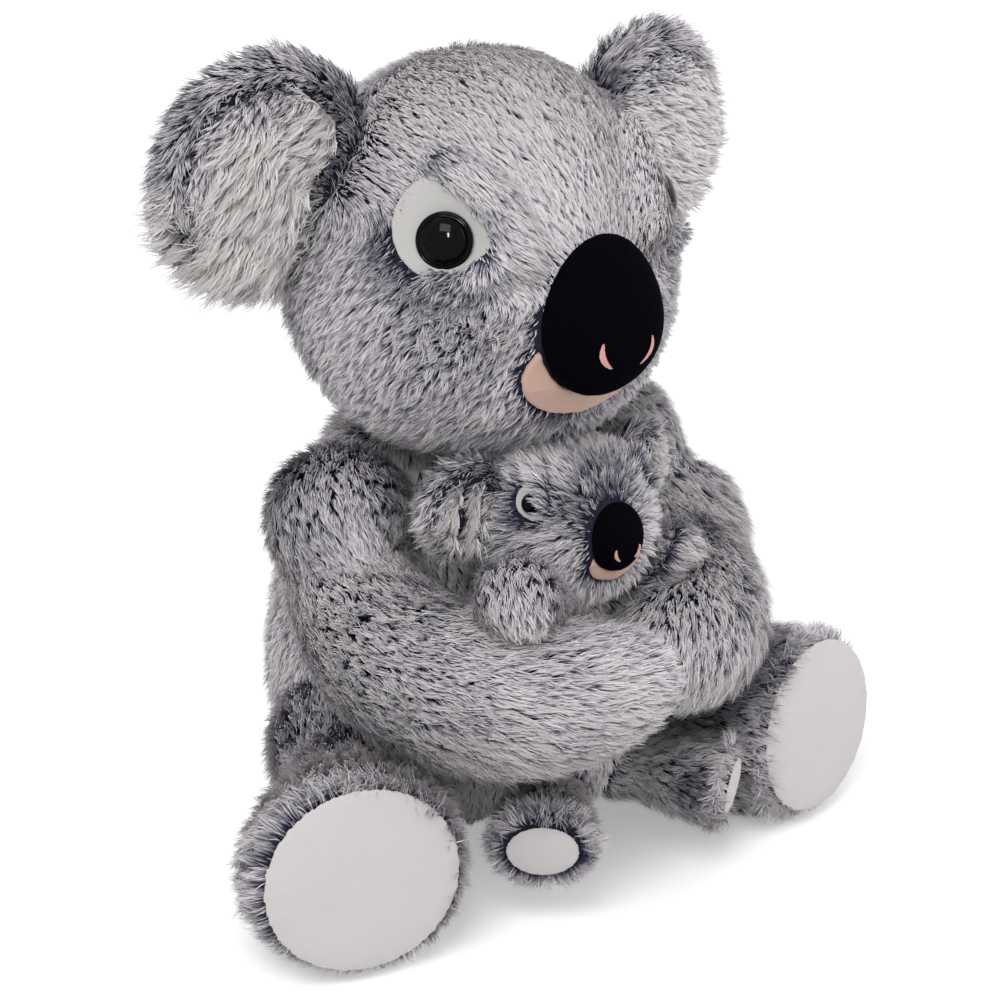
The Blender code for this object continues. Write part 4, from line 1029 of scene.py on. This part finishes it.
# %% Ears
def ear_steer(prefix, side, base, hang=0.0, wisp=0.0, long=(1.0, 1.0)):
    root = np.array(ear_joint(side, prefix))
    size = SCALES[prefix]
    lining = f"{prefix}ear_lining_{side}"
    edge_tree = tree_of(lining)
    spots = spots_of(f"{prefix}ear_{side}")

    def steer(places, normals):
        away = places - root
        far = np.linalg.norm(away, axis=1)
        lay = unit(away) * (1 - 0.4 * hang) + np.array([0, 0, -hang])
        edge = np.zeros(len(places))
        if not hang:
            gap = clearances(places, edge_tree, 0.02 * size)
            edge = 1 - smooth_step(gap, 0.0015 * size, 0.007 * size)
            lay = unit(lay) - 1.1 * edge[:, None] * unit(places - centre_of(lining))
        sweep = np.cross([0.0, -1.0, 0.0], unit(away)) * -SIDES[side]
        lay = lay + 0.9 * smooth_step(away[:, 2], -0.010 * size, 0.025 * size)[:, None] * sweep
        if wisp:
            ruffle = [cloudy(places, 0.022 * size, 55 + number) for number in range(3)]
            lay = lay + wisp * np.stack(ruffle, axis=1)
        tone = base + 0.16 * cloudy(places, 0.03, 51 + SIDES[side])
        if base < 0.6:
            tone += 0.20 * smooth_step(far, 0.030 * size, 0.062 * size)
            # Darker near the root: partly dark pile, partly painted shade in the crease where the ear meets
            # the head.
            tone -= 0.50 * np.exp(-((far / (0.026 * size)) ** 2))
            tone -= darkened(places, spots)
        low = smooth_step(root[2] - places[:, 2], 0.002 * size, 0.022 * size)
        pile = long[0] + (long[1] - long[0]) * low
        return {"lay": lay, "pile": pile, "tone": tone, "comb": 1 - 0.5 * edge}
    return steer


def grey_band(places, prefix, side):
    """On the left ears the grey pile of the rim lies over the front above a slanting line only."""
    size = SCALES[prefix]
    away = places - np.array(ear_joint(side, prefix))
    return smooth_step(away[:, 2] - 0.25 * np.abs(away[:, 0]), 0.014 * size, 0.024 * size)


def white_share(skin, prefix, side):
    """Which part of an ear's own skin has white pile: its front, low down and at the lower rim."""
    places, normals = points_of(skin.data)
    size = SCALES[prefix]
    lining = centre_of(f"{prefix}ear_lining_{side}")
    front = smooth_step(-normals[:, 1], -0.1, 0.45)
    if side == "left":
        return (1 - grey_band(places, prefix, side)) * front
    return smooth_step(lining[2] - 0.004 * size - places[:, 2], 0, 0.010 * size) * front


def grey_share(skin, prefix, side):
    """Which part of a lining is brushed over with the grey of the rim: its outer and upper edge."""
    places, _ = points_of(skin.data)
    if side == "left":
        return grey_band(places, prefix, side)
    away = places - centre_of(f"{prefix}ear_lining_{side}")
    reach = np.linalg.norm(away, axis=1) / np.linalg.norm(away, axis=1).max()
    outer = smooth_step(away @ np.array([SIDES[side] * 0.8, 0, 0.6]), 0, 0.3 * np.abs(away).max())
    return outer * smooth_step(reach, 0.58, 0.72)


def dress_ear(prefix, side, voxels, sinks, coat, tuft, seeds):
    ear, lining = f"{prefix}ear_{side}", f"{prefix}ear_lining_{side}"
    body = f"{prefix}{side}_ear"
    flat = side == "left"  # this ear's lining was brushed flat, the other one is ruffled
    fringe = {**tuft, "length": tuft["length"] * (0.40 if flat else 0.75)}
    lining_coat = {**tuft, "length": tuft["length"] * (0.80 if flat else 1.0)}
    skin = coat_skin(ear, voxels[0], 10, sinks[0], ear_steer(prefix, side, 0.40), (0.0003, 0.0024))
    white = white_share(skin, prefix, side)
    slot = ear + "_fur"
    grow(skin, ear + "_pile", body, slot, GREY_PILE, seed=seeds, where=1 - white, **coat)
    grow(skin, ear + "_white", body, slot, WHITE_PILE, seed=seeds + 1, where=white, **fringe)
    drop_steering(skin.data)
    slot = lining + "_ear_lining"
    steer = ear_steer(prefix, side, 0.66, 0.4 if flat else 0.7, 0.3 if flat else 0.7,
                      (0.45, 0.6) if flat else (0.70, 1.35))
    skin = coat_skin(lining, voxels[1], 10, sinks[1], steer, (0.0002, 0.0012),
                     material=WHITE_BACKING)
    grey = grey_share(skin, prefix, side)
    grow(skin, lining + "_pile", body, slot, WHITE_PILE, seed=seeds + 2, where=1 - grey, **lining_coat)
    grow(skin, lining + "_edge", body, slot, GREY_PILE, seed=seeds + 3, where=grey, **coat)
    drop_steering(skin.data)


EAR_COAT = {"density": 2.3, "length": 0.0090, "width": 0.00042, "Lock size": 0.0021, "Lift": 0.42}
EAR_TUFT = {"density": 2.15, "length": 0.0165, "width": 0.00042, "Lock size": 0.0034, "Lift": 0.32,
            "Lock share": 0.7, "Stray": 0.32}
for side in SIDES:
    dress_ear("", side, (0.0022, 0.0020), (0.0026, 0.0012), EAR_COAT, EAR_TUFT, 51)

# %% [markdown]
# ## Face: felt, eyes, nose and mouth
#
# The felt disc, the velvet nose and the mouth are softened copies of their solids. The safety eye is
# turned: a profile is spun about its own axis, with a raised rim round the dome.

# %% Felt, nose, mouth and soles
def gathers(places, normals, size):
    """Small puckers round the rim of a sole, where its cloth is drawn in by the seam."""
    _, _, ways = np.linalg.svd(places - places.mean(axis=0), full_matrices=False)
    across, up = (places - places.mean(axis=0)) @ ways[0], (places - places.mean(axis=0)) @ ways[1]
    wide, tall = np.abs(across).max(), np.abs(up).max()
    turn = np.arctan2(up / tall, across / wide)
    share = np.hypot(up / tall, across / wide)
    folds = sum(np.sin(turn * count + phase) for count, phase in ((17, 0.4), (23, 2.1), (31, 4.0))) / 3
    flat = smooth_step(np.abs(normals @ ways[2]), 0.80, 0.97)
    slack = cloudy(places, 0.030 * size, 71) * (1 - share ** 2)
    rise = (0.0002 * folds * smooth_step(share, 0.60, 0.90) + 0.0006 * slack) * flat * size
    return normals * rise[:, None]


SNOUT_SPOT = NOSE_CENTRE + np.array((0.007, 0, -0.010))
SNOUT_PUSH = np.array((0.0032, -0.0048, 0))


def snout(places, normals, slim=0.0):
    """The lower part of the nose is stuffed fuller, towards the front and the toy's left."""
    return ramp(places, SNOUT_SPOT, 0.019)[:, None] * SNOUT_PUSH - normals * slim


def soft_piece(node, voxel, rounds, material, shape=None, share=1.0):
    """A softened copy of a solid, whose points are moved by what its shape gives."""
    made = softened(node, voxel, rounds, node + "_soft", material, share)
    if shape is not None:
        places, normals = points_of(made.data)
        places = places + shape(places, normals)
        made.data.vertices.foreach_set("co", places.astype(np.float32).ravel())
    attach(made, body_with(node))
    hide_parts(node)
    print(node, len(made.data.polygons), "faces")
    return made


for prefix, scale in SCALES.items():
    for side in SIDES:
        soft_piece(f"{prefix}eye_patch_{side}", 0.00050 * scale ** 0.5, 6, FELT, share=0.3)
        soft_piece(f"{prefix}sole_{side}", 0.0006 * scale, 9, VELOUR,
                   lambda places, normals, size=scale: gathers(places, normals, size), share=0.14)
    soft_piece(prefix + "nose", 0.0012 * scale, 8, VELVET, None if prefix else snout)
    soft_piece(prefix + "mouth", 0.0008 * scale ** 0.5, 4, PEACH)

# %% Safety eyes
def axis_of(node, outside_of):
    """The turning axis of a turned node: the way in which its points spread unlike the other two."""
    places, _ = NODE_MESHES[node]
    middle = places.mean(axis=0)
    sizes, ways = np.linalg.eigh(np.cov((places - middle).T))
    odd = 0 if sizes[1] - sizes[0] > sizes[2] - sizes[1] else 2
    axis = ways[:, odd]
    return axis if axis @ (middle - outside_of) > 0 else -axis


def turned_piece(name, profile, centre, axis, material, around=64):
    maker = bmesh.new()
    points = [maker.verts.new((radius, 0, height)) for radius, height in profile]
    edges = [maker.edges.new(pair) for pair in zip(points, points[1:])]
    bmesh.ops.spin(maker, geom=points + edges, cent=(0, 0, 0), axis=(0, 0, 1), angle=2 * pi,
                   steps=around)
    bmesh.ops.remove_doubles(maker, verts=maker.verts, dist=0.000001)
    bmesh.ops.recalc_face_normals(maker, faces=maker.faces)
    turn = Vector(axis).to_track_quat("Z", "Y").to_matrix().to_4x4()
    maker.transform(Matrix.Translation(Vector(centre)) @ turn)
    mesh = bpy.data.meshes.new(name)
    maker.to_mesh(mesh)
    maker.free()
    return piece(name, mesh, material)


def safety_eye(prefix, side, head_centre):
    node = f"{prefix}eye_button_{side}"
    places, _ = NODE_MESHES[node]
    axis = axis_of(node, head_centre)
    heights = places @ axis
    top, bottom = heights.max(), heights.min()
    middle = places.mean(axis=0)
    flat = places - np.outer(heights, axis)
    centre = (flat.max(axis=0) + flat.min(axis=0)) / 2
    radius = np.linalg.norm(flat - centre, axis=1).max()
    low = heights[np.linalg.norm(flat - centre, axis=1) > radius * 0.98].min()
    dome = top - low
    steps = [radians(a) for a in range(0, 91, 9)]
    inner = radius * 0.84
    profile = [(inner * sin(s), dome * 0.35 + dome * 0.65 * cos(s)) for s in steps]
    rim = radius * 0.08
    profile += [(radius - rim + rim * sin(s), dome * 0.30 + rim * cos(s)) for s in steps]
    shank = 0.25 * radius
    back, end = -dome * 0.1, bottom - low
    profile += [(radius, 0), (radius * 0.9, back), (shank, back), (shank, end), (0, end)]
    made = turned_piece(node + "_turned", profile, centre + axis * low, axis, BUTTON_PLASTIC)
    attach(made, body_with(node))
    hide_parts(node)
    washer = frame["nodes"][f"{prefix}eye_washer_{side}"]
    washer.data.materials.clear()
    washer.data.materials.append(WASHER_PLASTIC)
    print(node, "radius mm", round(radius * 1000, 2))
    return made


for side in SIDES:
    safety_eye("", side, HEAD_CENTRE)
    safety_eye("baby_", side, centre_of("baby_head"))

# %% Nostrils
for prefix, scale in SCALES.items():
    for side in SIDES:
        shape = None if prefix else lambda places, normals: snout(places, normals, 0.0003)
        soft_piece(f"{prefix}nostril_{side}", 0.0003 * scale ** 0.7, 3, THREAD, shape)

# %% [markdown]
# ## The baby
#
# The baby is made as the mother is, with smaller squares in its skin and shorter pile, which is long
# for its size: the real baby looks fluffy.

# %% Baby
BABY_HEAD_CENTRE = centre_of("baby_head")
BABY_NOSE_CENTRE = centre_of("baby_nose")
BABY_EYES = {side: centre_of("baby_eye_patch_" + side) for side in SIDES}
BABY_HEAD_SPOTS = spots_of("baby_head")
PAW_BULGE = (0.513, 0.597)  # where the baby's right paw is stuffed fuller


def baby_head_steer(places, normals):
    away = unit(places - BABY_NOSE_CENTRE)
    lay = away + np.array([0, 0, -0.25])
    eye_gap = np.min([np.linalg.norm(places - spot, axis=1) for spot in BABY_EYES.values()], axis=0)
    # Darker pile in a ring round each eye: partly the dark roots that show where the pile parts, partly
    # painted shade of the hollow round the felt.
    tone = 0.68 + 0.26 * cloudy(places, 0.020, 61) - 0.25 * np.exp(-(((eye_gap - 0.008) / 0.003) ** 2))
    tone -= darkened(places, BABY_HEAD_SPOTS)
    pile = 1.0 - 0.35 * ramp(places, BABY_NOSE_CENTRE, 0.016)
    return {"lay": lay, "pile": pile, "tone": tone}


def away_steer(name, cloud, seed):
    root = np.array(joint_place(name))
    spots = spots_of(name)

    def steer(places, normals):
        tone = 0.66 + 0.28 * cloudy(places, cloud, seed) - darkened(places, spots)
        return {"lay": unit(places - root) + np.array([0, 0, -0.8]), "pile": 1.0, "tone": tone}
    return steer


BABY_COAT = {"density": 3.65, "length": 0.0088, "width": 0.00036, "Lock size": 0.0019, "Lift": 0.5,
             "Lock share": 0.62, "Stray": 0.30}
BABY_TUFT = {**BABY_COAT, "length": 0.0095, "density": 4.0}
BABY_BROW_LINE = ((-8, 9), (-2, 7.4), (2.5, 5.2), (4.8, 1.6), (5.5, -4))
baby_brows = [
    (brow("baby_head", BABY_HEAD_CENTRE, BABY_EYES[side], side, BABY_BROW_LINE), 0.0034, 0.0026)
    for side in SIDES
]
skin = coat_skin("baby_head", 0.0016, 9, 0.0022, baby_head_steer, (0.0009, 0.003), ridges=baby_brows)
grow(skin, "baby_head_pile", "baby_head_and_face", "baby_head_fur", GREY_PILE, seed=61, **BABY_COAT)
drop_steering(skin.data)
skin = coat_skin("baby_body", 0.0022, 8, 0.002, body_steer, (0.0009, 0.003))
hidden_coat = {**BABY_COAT, "density": 2.4}
grow(skin, "baby_body_pile", "torso", "baby_body_fur", GREY_PILE, seed=62, **hidden_coat)
drop_steering(skin.data)
for side in SIDES:
    steer = away_steer(f"baby_arm_{side}", 0.018, 63)
    for kind, seed in (("arm", 63), ("leg", 64)):
        if kind == "leg":
            steer = leg_steer("baby_", side, 0.018)
        fuller = kind == "arm" and side == "right"
        bulge = [([seen("baby_arm_right", *PAW_BULGE)], 0.010, 0.010)] if fuller else []
        tuck = (f"baby_sole_{side}", 0.003, 0.0010) if kind == "leg" else None
        limb = f"baby_{kind}_{side}"
        skin = coat_skin(limb, 0.0017, 7, 0.002, steer, (0.0009, 0.003), ridges=bulge, tuck=tuck)
        grow(skin, limb + "_pile", f"baby_{side}_{kind}", limb + "_fur", GREY_PILE, seed=seed, **BABY_COAT)
        drop_steering(skin.data)
    dress_ear("baby_", side, (0.0014, 0.0013), (0.0016, 0.0008), BABY_COAT, BABY_TUFT, 65)
print("blades in all:", totals["blades"])

# %% [markdown]
# ## Studio
#
# A pale floor that curves up behind, two wide soft lights and an even white surround. The floor shows
# white to the camera where nothing shades it, so the toy stands in plain light with a soft shadow. A
# third, narrow light shows only in what shines, as a window does in an eye.

# %% Floor and lights
FLOOR_GLOW = 0.35  # lifts the paper to white for the camera, and lights nothing


def studio():
    maker = bmesh.new()
    half, bend, rise = 2.0, 0.35, 1.6
    line = [(-1.2, 0.0), (0.9, 0.0)]
    line += [(0.9 + bend * sin(radians(a)), bend * (1 - cos(radians(a)))) for a in range(9, 91, 9)]
    line += [(0.9 + bend, rise)]
    rows = [[maker.verts.new((x, y, z)) for x in (-half, half)] for y, z in line]
    for first, second in zip(rows, rows[1:]):
        maker.faces.new((first[0], first[1], second[1], second[0]))
    mesh = bpy.data.meshes.new("floor")
    maker.to_mesh(mesh)
    maker.free()
    paper, tree, shader = new_material("studio paper")
    seen_by_camera = out(add(tree, "ShaderNodeLightPath"), "Is Camera Ray")
    feed(tree, shader, {
        "Base Color": FLOOR_WHITE, "Roughness": 0.9, "Specular IOR Level": 0.0,
        "Emission Color": (1, 1, 1, 1),
        "Emission Strength": maths(tree, "MULTIPLY", seen_by_camera, FLOOR_GLOW),
    })
    floor = bpy.data.objects.new("floor", covered(mesh, paper))
    bpy.context.scene.collection.objects.link(floor)
    floor.rotation_euler.z = CAMERA_TURN
    return floor


def lamp(name, place, size, watts):
    made = bpy.data.objects.new(name, bpy.data.lights.new(name, "AREA"))
    bpy.context.scene.collection.objects.link(made)
    made.location = place
    made.rotation_euler = (Vector(place) - CAMERA_TARGET).to_track_quat("Z", "Y").to_euler()
    made.data.size = size
    made.data.energy = watts
    return made


studio()
lamp("key", (-0.9, -0.8, 1.5), 0.9, 18.3)
lamp("fill", (1.3, -1.0, 0.8), 1.2, 8.6)
catch_light = lamp("catch light", (-0.75, -0.95, 0.75), 0.09, 9)
catch_light.data.shape = "RECTANGLE"
catch_light.data.size_y = 0.26
catch_light.visible_diffuse = False
world = bpy.data.worlds.new("surround")
bpy.context.scene.world = world
world.use_nodes = True
sky = world.node_tree
WORLD_LIGHT = 0.55  # what the surround lights the toy with, while the camera and what shines see it white
ray = add(sky, "ShaderNodeLightPath")
shown = maths(sky, "ADD", out(ray, "Is Camera Ray"), out(ray, "Is Glossy Ray"))
shown = maths(sky, "ADD", shown, out(ray, "Is Transmission Ray"), clamp=True)
strength = maths(sky, "MULTIPLY_ADD", shown, 1 - WORLD_LIGHT, WORLD_LIGHT)
feed(sky, sky.nodes["Background"], {"Color": (1, 1, 1, 1), "Strength": strength})
bpy.context.scene.view_settings.view_transform = "Standard"
print("lamps: 3")
